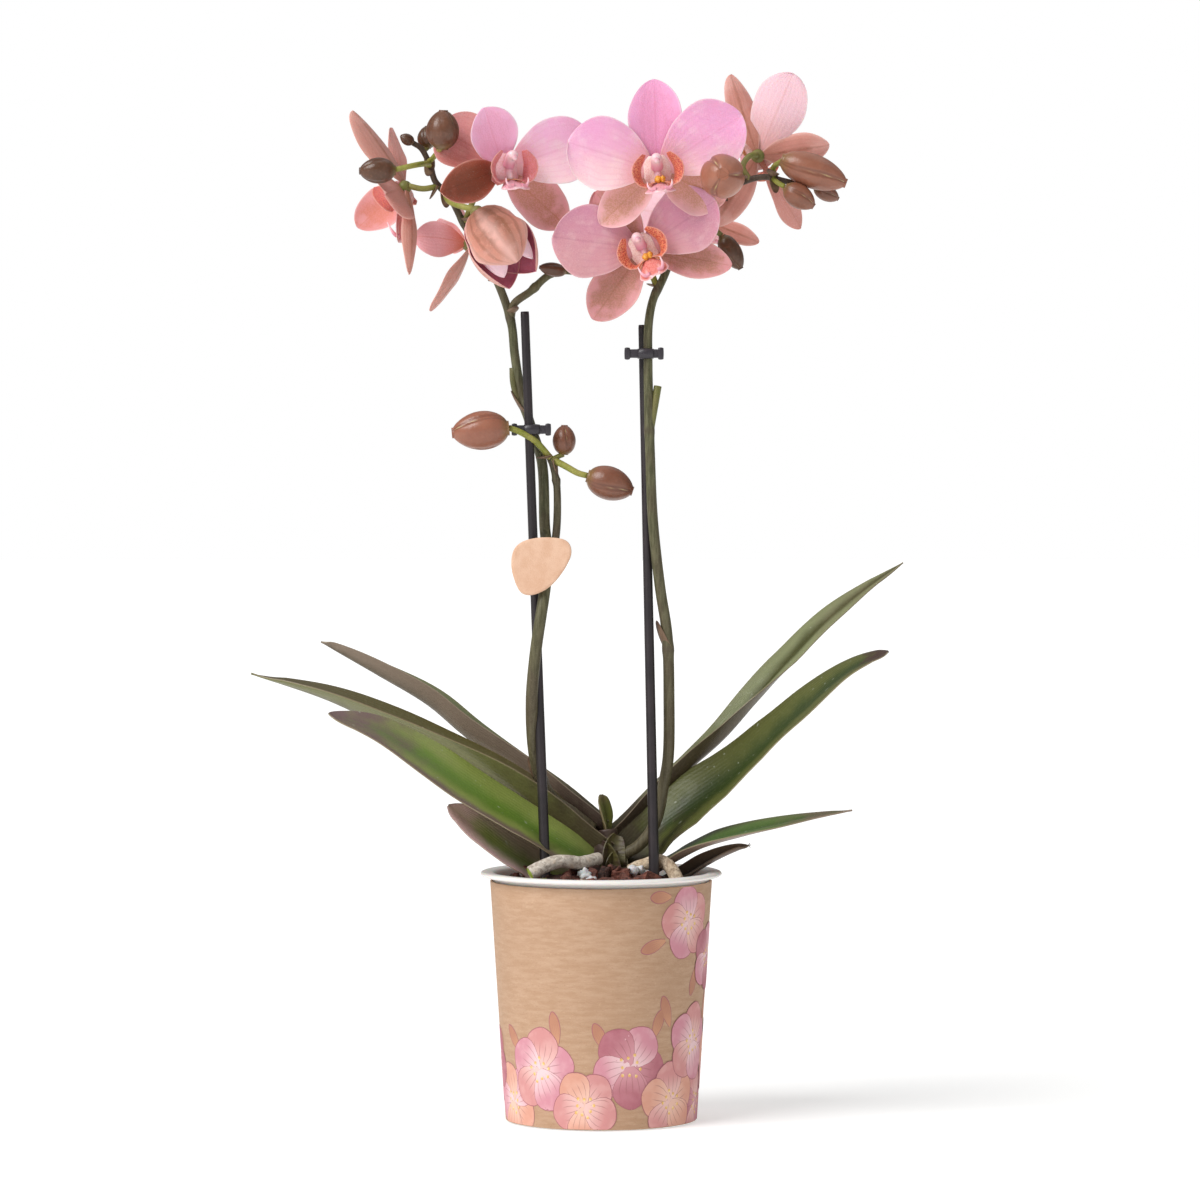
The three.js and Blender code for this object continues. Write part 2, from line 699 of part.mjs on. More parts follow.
const leavesFat = [];
for (const own of LEAVES) {
  const leaf = { ...LEAF_DEFAULTS, ...own };
  const sheet = leafSheet(leaf);
  const body = clearOf(bladeSolid(sheet, LEAF_THICK), [crownFat, ...stakesFat, ...leavesFat]);
  addNode(leaf.name, body, leaf.colour, 0.4);
  leavesFat.push(bladeSolid(sheet, LEAF_THICK, GAP));
}

// Spikes: the flower stems, with their branches, pedicels and bracts
const LEFT_SPIKE = [
  [-3, 6, 108], [-10.9, 5, 114.5], [-17.5, 4, 119], [-21.6, 0.5, 125.5], [-24.6, -6, 136.1], [-25.7, -13.2, 156.2],
  [-24.2, -15.4, 174.9], [-22.2, -15, 188.6], [-20.8, -13, 197.9], [-19.7, -7, 210.4], [-20.9, -1, 220.7],
  [-22, 0, 245.2], [-25.4, -1.5, 256.4], [-29.8, 1, 271.3], [-32, 0, 284.6], [-33.5, 0, 297.6], [-38.7, 1, 312.5],
  [-45.8, 3, 324.8], [-51, 3, 333.7], [-56.1, 2, 343.3], [-61.6, 0, 349.5], [-63.5, -1, 355.4], [-66.8, -2, 361.6],
  [-69.7, -3, 363.4],
];
const RIGHT_SPIKE = [
  [8.5, 0, 99], [14.5, -2, 103], [20.1, -3.5, 111], [23.4, -4.5, 126.3], [24.9, -5, 135.3], [25.2, -6, 157.6],
  [24.5, -7, 181.1], [21.9, -8.4, 198.6], [19.2, -10.2, 223.4], [18.1, -9.2, 249.4], [17.4, -7, 280.1],
  [17.7, -6, 297.5], [19.6, -4, 306.4], [22.6, -2, 312.4], [29.4, 4, 327.8], [38.7, 4, 340.8], [53.3, -6, 349.2],
  [60.9, -9, 350.6], [67.6, -10, 349.1], [72.7, -10, 348], [78.3, -8.5, 347.4],
];

const LEFT_TWIGS = [
  {
    spine: [
      [-20, -6, 208], [-17, -2.4, 216.5], [-16.4, -1, 236], [-17.2, -1.8, 241], [-18.8, -3, 247],
    ],
    from: 1.5, to: 1.2,
  },
  {
    spine: [
      [-18.6, -3, 246.5], [-24.5, -7, 253.1], [-30, -9, 256.4], [-34.1, -10, 258],
    ],
    from: 1.2, to: 1.1,
  },
  {
    spine: [
      [-18.4, -3, 246.5], [-12.6, -5, 243.4], [-8.6, -6, 241.2], [-5, -6, 240.2],
    ],
    from: 1.2, to: 1.1,
  },
  { spine: [[-18.6, -3, 246], [-15.5, -2, 247.5], [-14, -1.4, 248]], from: 1, to: 0.9 },
  {
    spine: [
      [-33.5, 0, 299], [-32.3, -1.5, 303.9], [-26, -2, 308.7], [-20.8, -2.4, 313.5],
      [-16.7, -2, 316], [-10.8, -1, 316], [-4.6, 1, 314.9],
    ],
    from: 1.5, to: 1.2,
  },
  {
    spine: [
      [-51, 3, 333.7], [-46, -2, 345], [-40, -9, 352.5], [-37, -13, 353.6],
    ],
    from: 1.1, to: 1.1,
  },
  { spine: [[-60, 0.5, 347.8], [-66, -1, 346.6], [-71.6, -0.8, 347.7]], from: 1.1, to: 1.1 },
  {
    spine: [
      [-38.7, 1, 312.5], [-42, 8, 319], [-45.6, 15, 325], [-46.9, 17.6, 326.4],
    ],
    from: 1.1, to: 1.1,
  },
  {
    spine: [
      [-58, 1.2, 345.4], [-55.8, -8, 341.5], [-50, -13, 339.2], [-46.6, -14.2, 338.6],
    ],
    from: 1.1, to: 1.1,
  },
  { spine: [[-63.3, -1, 354.6], [-64.6, -10, 355.4], [-69, -17.6, 354.4], [-76, -19.4, 352.7]], from: 1.1, to: 1 },
  { spine: [[-64, -1.2, 356.6], [-62, -10, 357.6], [-58.8, -21.4, 360.8]], from: 1, to: 1 },
  { spine: [[-66, -1.8, 360.4], [-65, 0.5, 361.2], [-64.4, 1.6, 361.9]], from: 0.8, to: 0.8 },
  { spine: [[-27.4, 0, 262.4], [-31, 0.4, 268.6], [-32.6, 0.6, 275], [-32.7, 0.8, 280.2]], from: 1.1, to: 1.4 },
];

const RIGHT_TWIGS = [
  {
    spine: [
      [33, 4, 333.5], [28, -4, 346], [22.5, -14, 352.5], [20.6, -21, 352],
    ],
    from: 1.2, to: 1.1,
  },
  {
    spine: [
      [21, -3, 309.5], [18.4, 0, 316.5], [16.8, -6, 323.4], [15.7, -11, 323.9],
    ],
    from: 1.2, to: 1.1,
  },
  {
    spine: [
      [55, -7, 349.6], [52.4, -6, 354.6], [55, -5, 358.6], [57.8, -3.2, 359],
    ],
    from: 1.1, to: 1.1,
  },
  { spine: [[34, 4, 335], [37, 12, 337.6], [38.2, 21, 336.3]], from: 1.1, to: 1.1 },
  {
    spine: [
      [43, 1, 344], [48, -8, 347.5], [50, -19, 349.4], [48, -28, 349.8], [44.2, -32.2, 349.3],
    ],
    from: 1.3, to: 1.2,
  },
  { spine: [[64, -9.7, 350.3], [63.6, -11, 354], [66.8, -13, 356.4]], from: 1, to: 1 },
  { spine: [[63.5, -9.6, 350], [65, -13, 348.4], [67.8, -15, 346.6]], from: 1, to: 0.9 },
  { spine: [[31, 4, 330], [37, 8, 331.6], [43, 10, 331.2], [45, 10, 329.6]], from: 1.1, to: 1 },
  { spine: [[17.8, -8.6, 255], [18.9, -8.2, 261.5], [20, -7.6, 267.6], [21, -7, 273.4]], from: 1.5, to: 1.45 },
];

// A bract is a small scale that hugs the stem and stands off at its tip
const LEFT_BRACTS = [
  { at: [-29.2, 0.2, 261.6], along: [-0.3, 0, 1], lean: [-1, 0, 0.1], length: 10.5, width: 6, foot: 2 },
  { at: [-24.9, -1.5, 127], along: [-0.1, -0.2, 1], lean: [-0.6, -0.8, 0], length: 9, width: 5, foot: 1.6 },
];
const RIGHT_BRACTS = [
  { at: [22.8, -7.4, 175.6], along: [-0.1, 0, 1], lean: [-0.9, -0.5, 0], length: 11, width: 5.4, foot: 1.7 },
];

function bractBlade(bract, grow = 0) {
  const along = point(bract.along).normalize();
  const lean = point(bract.lean).normalize();
  const start = point(bract.at).addScaledVector(lean, -bract.foot);
  const curve = new THREE.QuadraticBezierCurve3(
    start,
    start.clone().addScaledVector(along, bract.length * 0.5).addScaledVector(lean, bract.foot + 0.7),
    start.clone().addScaledVector(along, bract.length).addScaledVector(lean, bract.foot + 1.3),
  );
  const side = along.clone().cross(lean);
  const sectionAt = (s, t) => {
    const half = Math.max(0.5, (bract.width / 2) * Math.sqrt(1 - s ** 2));
    return [half * t, 1.2 * t * t * (1 - s)];
  };
  const rows = sheetRows({
    curveAt: (s) => curve.getPoint(s),
    sideAt: () => side,
    sectionAt,
    stations: tipStations(3),
    columns: 2,
  });
  return bladeSolid(rows, 0.8, grow);
}

function twigRod(twig, grow = 0) {
  const steps = Math.max(3, Math.round(curveThrough(twig.spine).getLength() / 10));
  return taperedRod(twig.spine, twig.from, twig.to, steps, 5, grow);
}

function spikeBody(main, startRadius, endRadius, twigs, bracts, grow = 0) {
  const stem = taperedRod(main, startRadius, endRadius, 29, 6, grow);
  return joined([
    stem,
    ...twigs.map((twig) => twigRod(twig, grow)),
    ...bracts.map((bract) => bractBlade(bract, grow)),
  ]);
}

const SPIKES = [
  { name: "spike_left", main: LEFT_SPIKE, from: 2.3, to: 1, twigs: LEFT_TWIGS, bracts: LEFT_BRACTS },
  { name: "spike_right", main: RIGHT_SPIKE, from: 2.15, to: 1, twigs: RIGHT_TWIGS, bracts: RIGHT_BRACTS },
];
const spikeOf = (spike, grow = 0) =>
  spikeBody(spike.main, spike.from, spike.to, spike.twigs, spike.bracts, grow);
const spikesFat = SPIKES.map((spike) => spikeOf(spike, GAP));
for (const spike of SPIKES) {
  const body = clearOf(spikeOf(spike), [crownFat, ...stakesFat, ...leavesFat, ...bloomCutters]);
  addNode(spike.name, body, 0x5f5a46, 0.55);
}

// Buds
const BUDS = [
  { name: "bud_left_1", from: [-76.2, -19, 352.6], to: [-88.8, -21, 352.2], radius: 4.9 },
  { name: "bud_left_2", from: [-58.4, -22, 360.6], to: [-57.8, -23, 374.4], radius: 6.2 },
  { name: "bud_left_3", from: [-64.6, 1.8, 362.2], to: [-64.5, 3, 370], radius: 3.8 },
  { name: "bud_left_4", from: [-70, -3.2, 363.7], to: [-74.2, -4.6, 366], radius: 2.2 },
  { name: "bud_right_1", from: [44.2, -32, 349.2], to: [44.1, -50, 349.6], radius: 8.3 },
  { name: "bud_right_2", from: [66.8, -13.4, 356.6], to: [90.4, -14, 347.9], radius: 6.5 },
  { name: "bud_right_3", from: [68.2, -15.2, 346.4], to: [78.4, -16, 339.3], radius: 4.6 },
  { name: "bud_right_4", from: [79.4, -8.3, 346.8], to: [87.8, -6, 342.6], radius: 3.2 },
  { name: "bud_right_5", from: [45.3, 10, 329.1], to: [52.2, 10, 317.2], radius: 4.1 },
  { name: "bud_low_1", from: [-34.6, -10.1, 257.8], to: [-55.2, -11, 256], radius: 7.4 },
  { name: "bud_low_2", from: [-13.8, -1.2, 248.5], to: [-13.6, -1, 259], radius: 4.4 },
  { name: "bud_low_3", from: [-4.6, -6, 240], to: [11.8, -6, 234.4], radius: 6.4 },
  { name: "bud_side", from: [-13.5, -4.3, 315.8], to: [-22.8, -7, 317.4], radius: 2.7 },
];
const budsFat = [];
for (const bud of BUDS) {
  const body = eggSolid(bud.from, bud.to, bud.radius);
  addNode(bud.name, clearOf(body, [...spikesFat, ...bloomCutters, ...budsFat]), 0x8c5a40, 0.55);
  budsFat.push(eggSolid(bud.from, bud.to, bud.radius, GAP));
}

// Clips: a body round the spike and its stake, with an ear at each side
const CLIPS = [
  { name: "clip_left", stake: STAKES[0], z: 257.3, left: -33.2, right: -18.5, back: 2.2, aside: 0.2 },
  { name: "clip_right", stake: STAKES[1], z: 285.4, left: 8.6, right: 23.2, back: -2.2, aside: 0.6 },
];
for (const clip of CLIPS) {
  const rod = stakeAt(clip.stake, clip.z);
  const middle = (clip.left + clip.right) / 2;
  const span = clip.right - clip.left;
  const depth = rod.y + clip.back;
  const body = boxSolid([6.8, 10.8, 4.6], [middle + clip.aside, depth, clip.z]);
  const bar = boxSolid([span - 1, 1.4, 3.6], [middle, depth - 3.6, clip.z]);
  const earAt = (x) => boxSolid([2.2, 2.4, 5], [x, depth - 3.6, clip.z]);
  const whole = joined([body, bar, earAt(clip.left + 1.1), earAt(clip.right - 1.1)]);
  addNode(clip.name, clearOf(whole, [...stakesFat, ...spikesFat, ...budsFat]), 0x3a353a, 0.5);
}

// Tag: a flat egg-shaped plate on an arm that grips the left stake
const TAG_OUTLINE = [
  [-28.5, 216.2], [-20.7, 217.6], [-12.6, 216.2], [-10.9, 212.5], [-13, 206.6], [-19.6, 198.8],
  [-26.3, 196.2], [-29.6, 197.3], [-32.5, 203.6], [-33.1, 209.1], [-31.8, 213.6],
];
const TAG_FRONT = -17.6;
const TAG_THICK = 0.9;
function tagSolid() {
  const corners = TAG_OUTLINE.map(([x, z]) => point([x, z, 0]));
  const outline = new THREE.CatmullRomCurve3(corners, true, "centripetal").getPoints(24);
  const shape = new THREE.Shape(outline.slice(0, -1).map((p) => new THREE.Vector2(p.x, p.y)));
  const plate = new THREE.ExtrudeGeometry(shape, { depth: TAG_THICK, bevelEnabled: false, steps: 1 });
  plate.rotateX(Math.PI / 2);
  plate.translate(0, TAG_FRONT + TAG_THICK, 0);
  const rod = stakeAt(STAKES[0], 207);
  const reach = rod.y + 3.2 - (TAG_FRONT + TAG_THICK / 2);
  const arm = boxSolid([5.6, reach, 3], [rod.x - 0.6, TAG_FRONT + TAG_THICK / 2 + reach / 2, 207]);
  return joined([solidOf(plate), arm]);
}
addNode("tag", clearOf(tagSolid(), [...stakesFat, ...spikesFat]), 0xe5b99b, 0.7);

// Roots
const ROOTS = [
  {
    name: "root_left",
    spine: [
      [-1, -6.5, 98], [-7.8, -14, 97.1], [-15.2, -19, 98], [-20.7, -22, 96.6],
      [-26.2, -24, 93.8],
    ],
    from: 2.6, to: 2.9, colour: 0xb8ada9,
  },
  {
    name: "root_stub",
    spine: [
      [-20.4, -15.5, 74], [-20.7, -20, 84], [-20.7, -21, 91.6],
    ],
    from: 2.4, to: 2.7, colour: 0x97974a,
  },
  {
    name: "root_mid",
    spine: [
      [0, -8, 91], [-5, -14, 91.5], [-8, -20, 86], [-9, -23, 78],
    ],
    from: 2, to: 2.2, colour: 0xb4aaa6,
  },
  {
    name: "root_right",
    spine: [
      [11, -5, 93.5], [17, -8, 96.2], [22.4, -9.6, 97.2], [26.6, -13, 94], [29.6, -16, 86],
      [30, -16.6, 77],
    ],
    from: 2.6, to: 2.9, colour: 0xb39a86,
  },
  {
    name: "root_back",
    spine: [
      [6, 8, 93], [8, 16, 97], [12, 25, 94], [15, 30, 84], [15.5, 31, 76],
    ],
    from: 2.2, to: 2.2, colour: 0xb4aaa6,
  },
];
const rootsFat = [];
const cutsForRoots = [crownFat, ...stakesFat, ...spikesFat, ...leavesFat];
for (const root of ROOTS) {
  const steps = Math.round(curveThrough(root.spine).getLength() / 4.5);
  const body = taperedRod(root.spine, root.from, root.to, steps, 6);
  addNode(root.name, clearOf(body, [...cutsForRoots, ...rootsFat]), root.colour, 0.8);
  rootsFat.push(taperedRod(root.spine, root.from, root.to, steps, 6, GAP));
}

// A profile of [radius, height] pairs turned round the pot's axis
function turned(profile, segments) {
  const outline = profile.map(([radius, z]) => new THREE.Vector2(radius, z));
  return solidOf(new THREE.LatheGeometry(outline, segments).rotateX(Math.PI / 2));
}

// Pot: one thin wall with a floor, drain holes off the centre and a flat turned-out rim
function potSolid() {
  const throat = POT_TOP_RADIUS - POT_WALL;
  const profile = [
    [0, 0],
    [POT_BASE_RADIUS - 1, 0],
    [POT_BASE_RADIUS, 1],
    [POT_TOP_RADIUS, POT_HEIGHT - RIM_LIP],
    [RIM_RADIUS - 0.7, POT_HEIGHT - RIM_LIP],
    [RIM_RADIUS, POT_HEIGHT - 0.9],
    [RIM_RADIUS - 1, POT_HEIGHT],
    [throat + 0.6, POT_HEIGHT - 0.4],
    [throat, POT_HEIGHT - 1.4],
    [POT_BASE_RADIUS - POT_WALL, POT_WALL],
    [0, POT_WALL],
  ];
  const shell = turned(profile, POT_SEGMENTS);
  const holes = [0, 1, 2, 3].map((k) => {
    const angle = (k + 0.5) * (Math.PI / 2);
    const hole = new THREE.CylinderGeometry(DRAIN_RADIUS, DRAIN_RADIUS, 6, 8).rotateX(Math.PI / 2);
    hole.translate(DRAIN_CIRCLE * Math.cos(angle), DRAIN_CIRCLE * Math.sin(angle), 0);
    return solidOf(hole);
  });
  return holes.reduce((rest, hole) => rest.subtract(hole), shell);
}
addNode("pot", potSolid(), 0xe4e2df, 0.45);

// Wrap: a thin card sleeve round the pot's wall
function radiusOfPot(z) {
  return mix(POT_BASE_RADIUS, POT_TOP_RADIUS, (z - 1) / (POT_HEIGHT - RIM_LIP - 1));
}
function wrapSolid() {
  const low = radiusOfPot(WRAP_BOTTOM) + GAP;
  const high = radiusOfPot(WRAP_TOP) + GAP;
  const profile = [
    [low, WRAP_BOTTOM],
    [low + WRAP_WALL, WRAP_BOTTOM],
    [high + WRAP_WALL, WRAP_TOP],
    [high, WRAP_TOP],
    [low, WRAP_BOTTOM],
  ];
  return turned(profile, POT_SEGMENTS);
}
addNode("wrap", wrapSolid(), 0xcdaa8e, 0.85);

// Bark: a packed bed with loose chips on top, with holes for all that stands in it
function barkSolid() {
  const random = seeded(7);
  const inner = (z) => mix(POT_BASE_RADIUS, POT_TOP_RADIUS, z / POT_HEIGHT) - POT_WALL - 0.6;
  const profile = [
    [0, POT_WALL + GAP],
    [inner(POT_WALL) - 0.6, POT_WALL + GAP],
    [inner(BARK_LEVEL), BARK_LEVEL],
    [0, BARK_LEVEL + 1],
  ];
  const bed = turned(profile, 14);
  const chips = [];
  const rings = [[1, 14], [4, 21], [7, 28.5]];
  for (const [count, radius] of rings) {
    for (let k = 0; k < count; k += 1) {
      const angle = ((k + 0.6 * random()) / count) * 2 * Math.PI;
      const size = [mix(9, 15, random()), mix(6, 9, random()), mix(5, 8, random())];
      const chip = new THREE.BoxGeometry(size[0], size[1], size[2]);
      chip.rotateX(mix(-0.5, 0.5, random()));
      chip.rotateY(mix(-0.45, 0.45, random()));
      chip.rotateZ(random() * Math.PI);
      const mound = BARK_MOUND * (1 - (radius / POT_BASE_RADIUS) ** 2);
      const height = BARK_LEVEL + mound + mix(-1, 2, random());
      chip.translate(radius * Math.cos(angle), radius * Math.sin(angle), height);
      chips.push(solidOf(chip));
    }
  }
  return joined([bed, ...chips]);
}
const barkCuts = [crownFat, ...stakesFat, ...spikesFat, ...leavesFat, ...rootsFat];
addNode("bark", clearOf(barkSolid(), barkCuts), 0x4a2c22, 0.9);

export default scene;
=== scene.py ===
"""Looks for the potted moth orchid: fine blades, stems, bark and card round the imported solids.

Sizes are in millimetres along the frame's axes, and become metres where a mesh is made.
The curves and outlines are those of the solids, with more points along and across them.
"""

import bisect
import math
import random

import bpy
from mathutils import Matrix, Vector, noise


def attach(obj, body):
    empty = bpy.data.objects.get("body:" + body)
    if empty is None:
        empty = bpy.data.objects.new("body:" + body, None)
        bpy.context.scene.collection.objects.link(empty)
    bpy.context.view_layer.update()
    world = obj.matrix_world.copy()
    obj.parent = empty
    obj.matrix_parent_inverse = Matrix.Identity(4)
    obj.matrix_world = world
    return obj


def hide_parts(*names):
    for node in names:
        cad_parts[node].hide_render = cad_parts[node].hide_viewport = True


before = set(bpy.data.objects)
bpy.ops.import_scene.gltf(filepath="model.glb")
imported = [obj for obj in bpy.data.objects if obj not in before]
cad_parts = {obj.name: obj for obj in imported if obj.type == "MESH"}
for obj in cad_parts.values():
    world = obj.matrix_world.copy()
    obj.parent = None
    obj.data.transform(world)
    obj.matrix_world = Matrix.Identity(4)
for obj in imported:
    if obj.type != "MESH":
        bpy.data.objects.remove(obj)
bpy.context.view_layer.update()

MM = 0.001
BODY = "root"
UP = Vector((0, 0, 1))
STILL = Matrix.Identity(3)
MARKS = ("along", "across", "face", "tone")

# The camera stands where the photograph was taken from
EYE = Vector((-0.4, -2000, 255))
PITCH_DOWN = 0.0308
LENS = 160.94

# Each sun's way to the light, its strength and its angle in degrees, and the plain sky
SUNS = {
    "key": ((-1.05, -0.8, 1.15), 2.8, 40),
    "fill": ((1.1, -1.0, 0.55), 0.22, 60),
    "top": ((0.2, 0.3, 1), 0.4, 60),
}
SKY_LIGHT = 0.29
SKY_SEEN = 1.0
FLOOR_HALF = 9.0
FLOOR_GLOW = 0.42

# The pot, as in the solids
POT_HEIGHT = 93
RIM_RADIUS = 45
POT_TOP_RADIUS = 40.4
POT_BASE_RADIUS = 34.6
POT_WALL = 1.3
RIM_LIP = 1.8
WRAP_GAP = 0.35
WRAP_WALL = 0.7
WRAP_TOP = 89.5
WRAP_BOTTOM = 0.5
DRAIN_RADIUS = 3.5
DRAIN_CIRCLE = 22
BARK_LEVEL = 86.5
BARK_MOUND = 5

# The plant, as in the solids
LEAF_THICK = 1.5
TEPAL_THICK = 0.62
LIP_THICK = 0.6
STAKE_RADIUS = 1.95
RECEPTACLE = 2.6
CLAW = 1.1


def mix(a, b, s):
    return a + (b - a) * s


def clamp(x, low, high):
    return min(high, max(low, x))


def soft_step(x, low, high):
    s = clamp((x - low) / (high - low), 0, 1)
    return s * s * (3 - 2 * s)


def bell(x, width):
    return math.exp(-(x / width) ** 2)


def angles(count):
    return [2 * math.pi * k / count for k in range(count)]


def tint(red, green, blue):
    """A colour as the screen shows it, from 0 to 255, turned into the renderer's numbers."""
    def linear(level):
        level /= 255
        return level / 12.92 if level <= 0.04045 else ((level + 0.055) / 1.055) ** 2.4
    return (linear(red), linear(green), linear(blue), 1)


class Curve:
    """A smooth curve through points, measured along its length from 0 to 1."""

    PARTS = 24

    def __init__(self, points):
        points = [Vector(p) for p in points]
        chain = [points[0] * 2 - points[1], *points, points[-1] * 2 - points[-2]]
        self.points = []
        for k in range(len(points) - 1):
            self.points += self.span(chain[k:k + 4], self.PARTS)
        self.points.append(points[-1])
        self.lengths = [0.0]
        for a, b in zip(self.points, self.points[1:]):
            self.lengths.append(self.lengths[-1] + (b - a).length)
        self.length = self.lengths[-1]

    @staticmethod
    def span(four, parts):
        """Points from the second of four points up to the third, on a smooth curve through all."""
        gaps = [max(1e-4, (b - a).length ** 0.5) for a, b in zip(four, four[1:])]
        p0, p1, p2, p3 = four
        enter = (p1 - p0) / gaps[0] - (p2 - p0) / (gaps[0] + gaps[1]) + (p2 - p1) / gaps[1]
        leave = (p2 - p1) / gaps[1] - (p3 - p1) / (gaps[1] + gaps[2]) + (p3 - p2) / gaps[2]
        enter *= gaps[1]
        leave *= gaps[1]
        square = -3 * p1 + 3 * p2 - 2 * enter - leave
        cube = 2 * p1 - 2 * p2 + enter + leave
        return [p1 + enter * s + square * s ** 2 + cube * s ** 3 for s in (j / parts for j in range(parts))]

    def at(self, s):
        reach = clamp(s, 0, 1) * self.length
        k = clamp(bisect.bisect_right(self.lengths, reach) - 1, 0, len(self.points) - 2)
        part = (reach - self.lengths[k]) / max(1e-9, self.lengths[k + 1] - self.lengths[k])
        return self.points[k].lerp(self.points[k + 1], part)

    def tangent(self, s):
        return (self.at(s + 0.004) - self.at(s - 0.004)).normalized()

    def where(self, height):
        """The place along the curve that comes nearest to a height."""
        return min((k / 200 for k in range(201)), key=lambda s: abs(self.at(s).z - height))


class Sheet:
    """Rows of points over a leaf, tepal or lobe, with the place of each along and across it."""

    def __init__(self, curve_at, side_at, section_at, steps, columns):
        self.stations = [math.sin(math.pi * k / (2 * steps)) for k in range(steps + 1)]
        self.spread = [math.sin(math.pi / 2 * (2 * j / columns - 1)) for j in range(columns + 1)]
        self.rows = []
        for s in self.stations:
            tangent = (curve_at(min(s + 0.01, 1)) - curve_at(max(s - 0.01, 0))).normalized()
            normal = tangent.cross(side_at(s, tangent)).normalized()
            side = normal.cross(tangent)
            row = []
            for t in self.spread:
                along, lift = section_at(s, t)
                row.append(curve_at(s) + side * along + normal * lift)
            self.rows.append(row)

    def normal(self, i, j):
        rows = self.rows
        along = rows[min(i + 1, len(rows) - 1)][j] - rows[max(i - 1, 0)][j]
        across = rows[i][min(j + 1, len(rows[i]) - 1)] - rows[i][max(j - 1, 0)]
        return along.cross(across).normalized()


class Shape:
    """Points, faces and marks, gathered before they become one mesh."""

    def __init__(self):
        self.points = []
        self.faces = []
        self.smooth = []
        self.kinds = []
        self.marks = []

    def point(self, place, along=0.0, across=0.0, face=1.0, tone=0.0):
        self.points.append(Vector(place) * MM)
        self.marks.append((along, across, face, tone))
        return len(self.points) - 1

    def face(self, corners, kind=0, smooth=True):
        self.faces.append(corners)
        self.kinds.append(kind)
        self.smooth.append(smooth)

    def skin(self, rows, kind=0, smooth=True, loop=True, flip=False):
        """Faces between rows of points, each row closed to a ring where loop is true."""
        for a, b in zip(rows, rows[1:]):
            for k in range(len(a) if loop else len(a) - 1):
                q = (k + 1) % len(a)
                self.face([a[k], b[k], b[q], a[q]] if flip else [a[k], a[q], b[q], b[k]], kind, smooth)

    def blade(self, sheet, thickness, kind=0, edge=0.35, tone=0.0):
        """A blade over a sheet, thinner towards its sides and its tip; tone may depend on the place."""
        end, last = len(sheet.stations) - 1, len(sheet.spread) - 1
        border = [(i, 0) for i in range(end)] + [(end, j) for j in range(last)]
        border += [(end - i, last) for i in range(end)] + [(0, last - j) for j in range(last)]
        borders = []
        for side in (1, -1):
            rows = []
            for i, s in enumerate(sheet.stations):
                row = []
                for j, t in enumerate(sheet.spread):
                    thin = mix(1, edge, max(abs(t) ** 3, s ** 8))
                    place = sheet.rows[i][j] + sheet.normal(i, j) * (side * thin * thickness / 2)
                    shade = tone(place) if callable(tone) else tone
                    row.append(self.point(place, s, t, float(side > 0), shade))
                rows.append(row)
            self.skin(rows, kind, loop=False, flip=side > 0)
            borders.append([rows[i][j] for i, j in border])
        self.skin(borders, kind, False, flip=True)

    def rod(self, curve, radius_at, steps, sides, kind=0, marks_at=None, cap_kind=None, open_end=False):
        """A rod along a curve; radius_at gives its radius from the place along and the angle."""
        start = curve.tangent(0)
        hint = Vector((1, 0, 0)) if abs(start.x) < 0.8 else Vector((0, 1, 0))
        side = hint - start * hint.dot(start)
        rings = []
        for i in range(steps + 1):
            s = i / steps
            tangent = curve.tangent(s)
            side = (side - tangent * side.dot(tangent)).normalized()
            other = tangent.cross(side)
            centre = curve.at(s)
            ring = []
            for k, angle in enumerate(angles(sides)):
                place = centre + (side * math.cos(angle) + other * math.sin(angle)) * radius_at(s, angle)
                marks = marks_at(s, angle, place) if marks_at else (s, k / sides, 1.0, 0.0)
                ring.append(self.point(place, *marks))
            rings.append(ring)
        self.skin(rings, kind)
        flat = kind if cap_kind is None else cap_kind
        self.face(rings[0][::-1], flat, False)
        if not open_end:
            self.face(rings[-1], flat, False)

    def lump(self, centre, radii, kind=0, rough=0.0, seed=0, segments=10):
        """A rounded lump, uneven by the share rough."""
        centre = Vector(centre)
        rings = []
        rows = max(4, segments // 2 + 1)
        for i in range(1, rows):
            polar = math.pi * i / rows
            ring = []
            for k, angle in enumerate(angles(segments)):
                way = Vector((math.sin(polar) * math.cos(angle), math.sin(polar) * math.sin(angle),
                              math.cos(polar)))
                swell = 1 + rough * noise.noise(way * 1.7 + Vector((seed, seed * 0.7, 0)))
                place = centre + Vector([way[a] * radii[a] for a in range(3)]) * swell
                ring.append(self.point(place, i / rows, k / segments))
            rings.append(ring)
        top = self.point(centre + Vector((0, 0, radii[2])), 0)
        low = self.point(centre - Vector((0, 0, radii[2])), 1)
        for k in range(segments):
            q = (k + 1) % segments
            self.face([top, rings[0][k], rings[0][q]], kind)
            self.face([low, rings[-1][q], rings[-1][k]], kind)
        self.skin(rings, kind, flip=True)

    def turned(self, profile, segments, closed=False):
        """A profile of radius and height pairs turned round the pot's axis, from the outside in."""
        rings = []
        for i, (radius, z) in enumerate(profile):
            ring = []
            for k, angle in enumerate(angles(segments)):
                place = (radius * math.cos(angle), radius * math.sin(angle), z)
                ring.append(self.point(place, z / POT_HEIGHT, k / segments, 1.0, i / len(profile)))
            rings.append(ring)
        self.skin(rings + rings[:1] if closed else rings)

    def block(self, size, centre, turn, kind=0, parts=2, rough=0.0, seed=0, round_off=0.0):
        """A block with rounded corners and an uneven skin."""
        centre = Vector(centre)
        at = {}

        def corner(*key):
            if key not in at:
                unit = Vector(key) * (2 / parts) - Vector((1, 1, 1))
                pull = 1 - round_off * max(0, unit.length - 1)
                place = Vector([unit[a] * size[a] / 2 for a in range(3)]) * pull
                way = place * 0.16 + Vector((seed, seed * 1.3, 0))
                place += Vector(noise.noise_vector(way)) * rough
                at[key] = self.point(centre + turn @ place)
            return at[key]

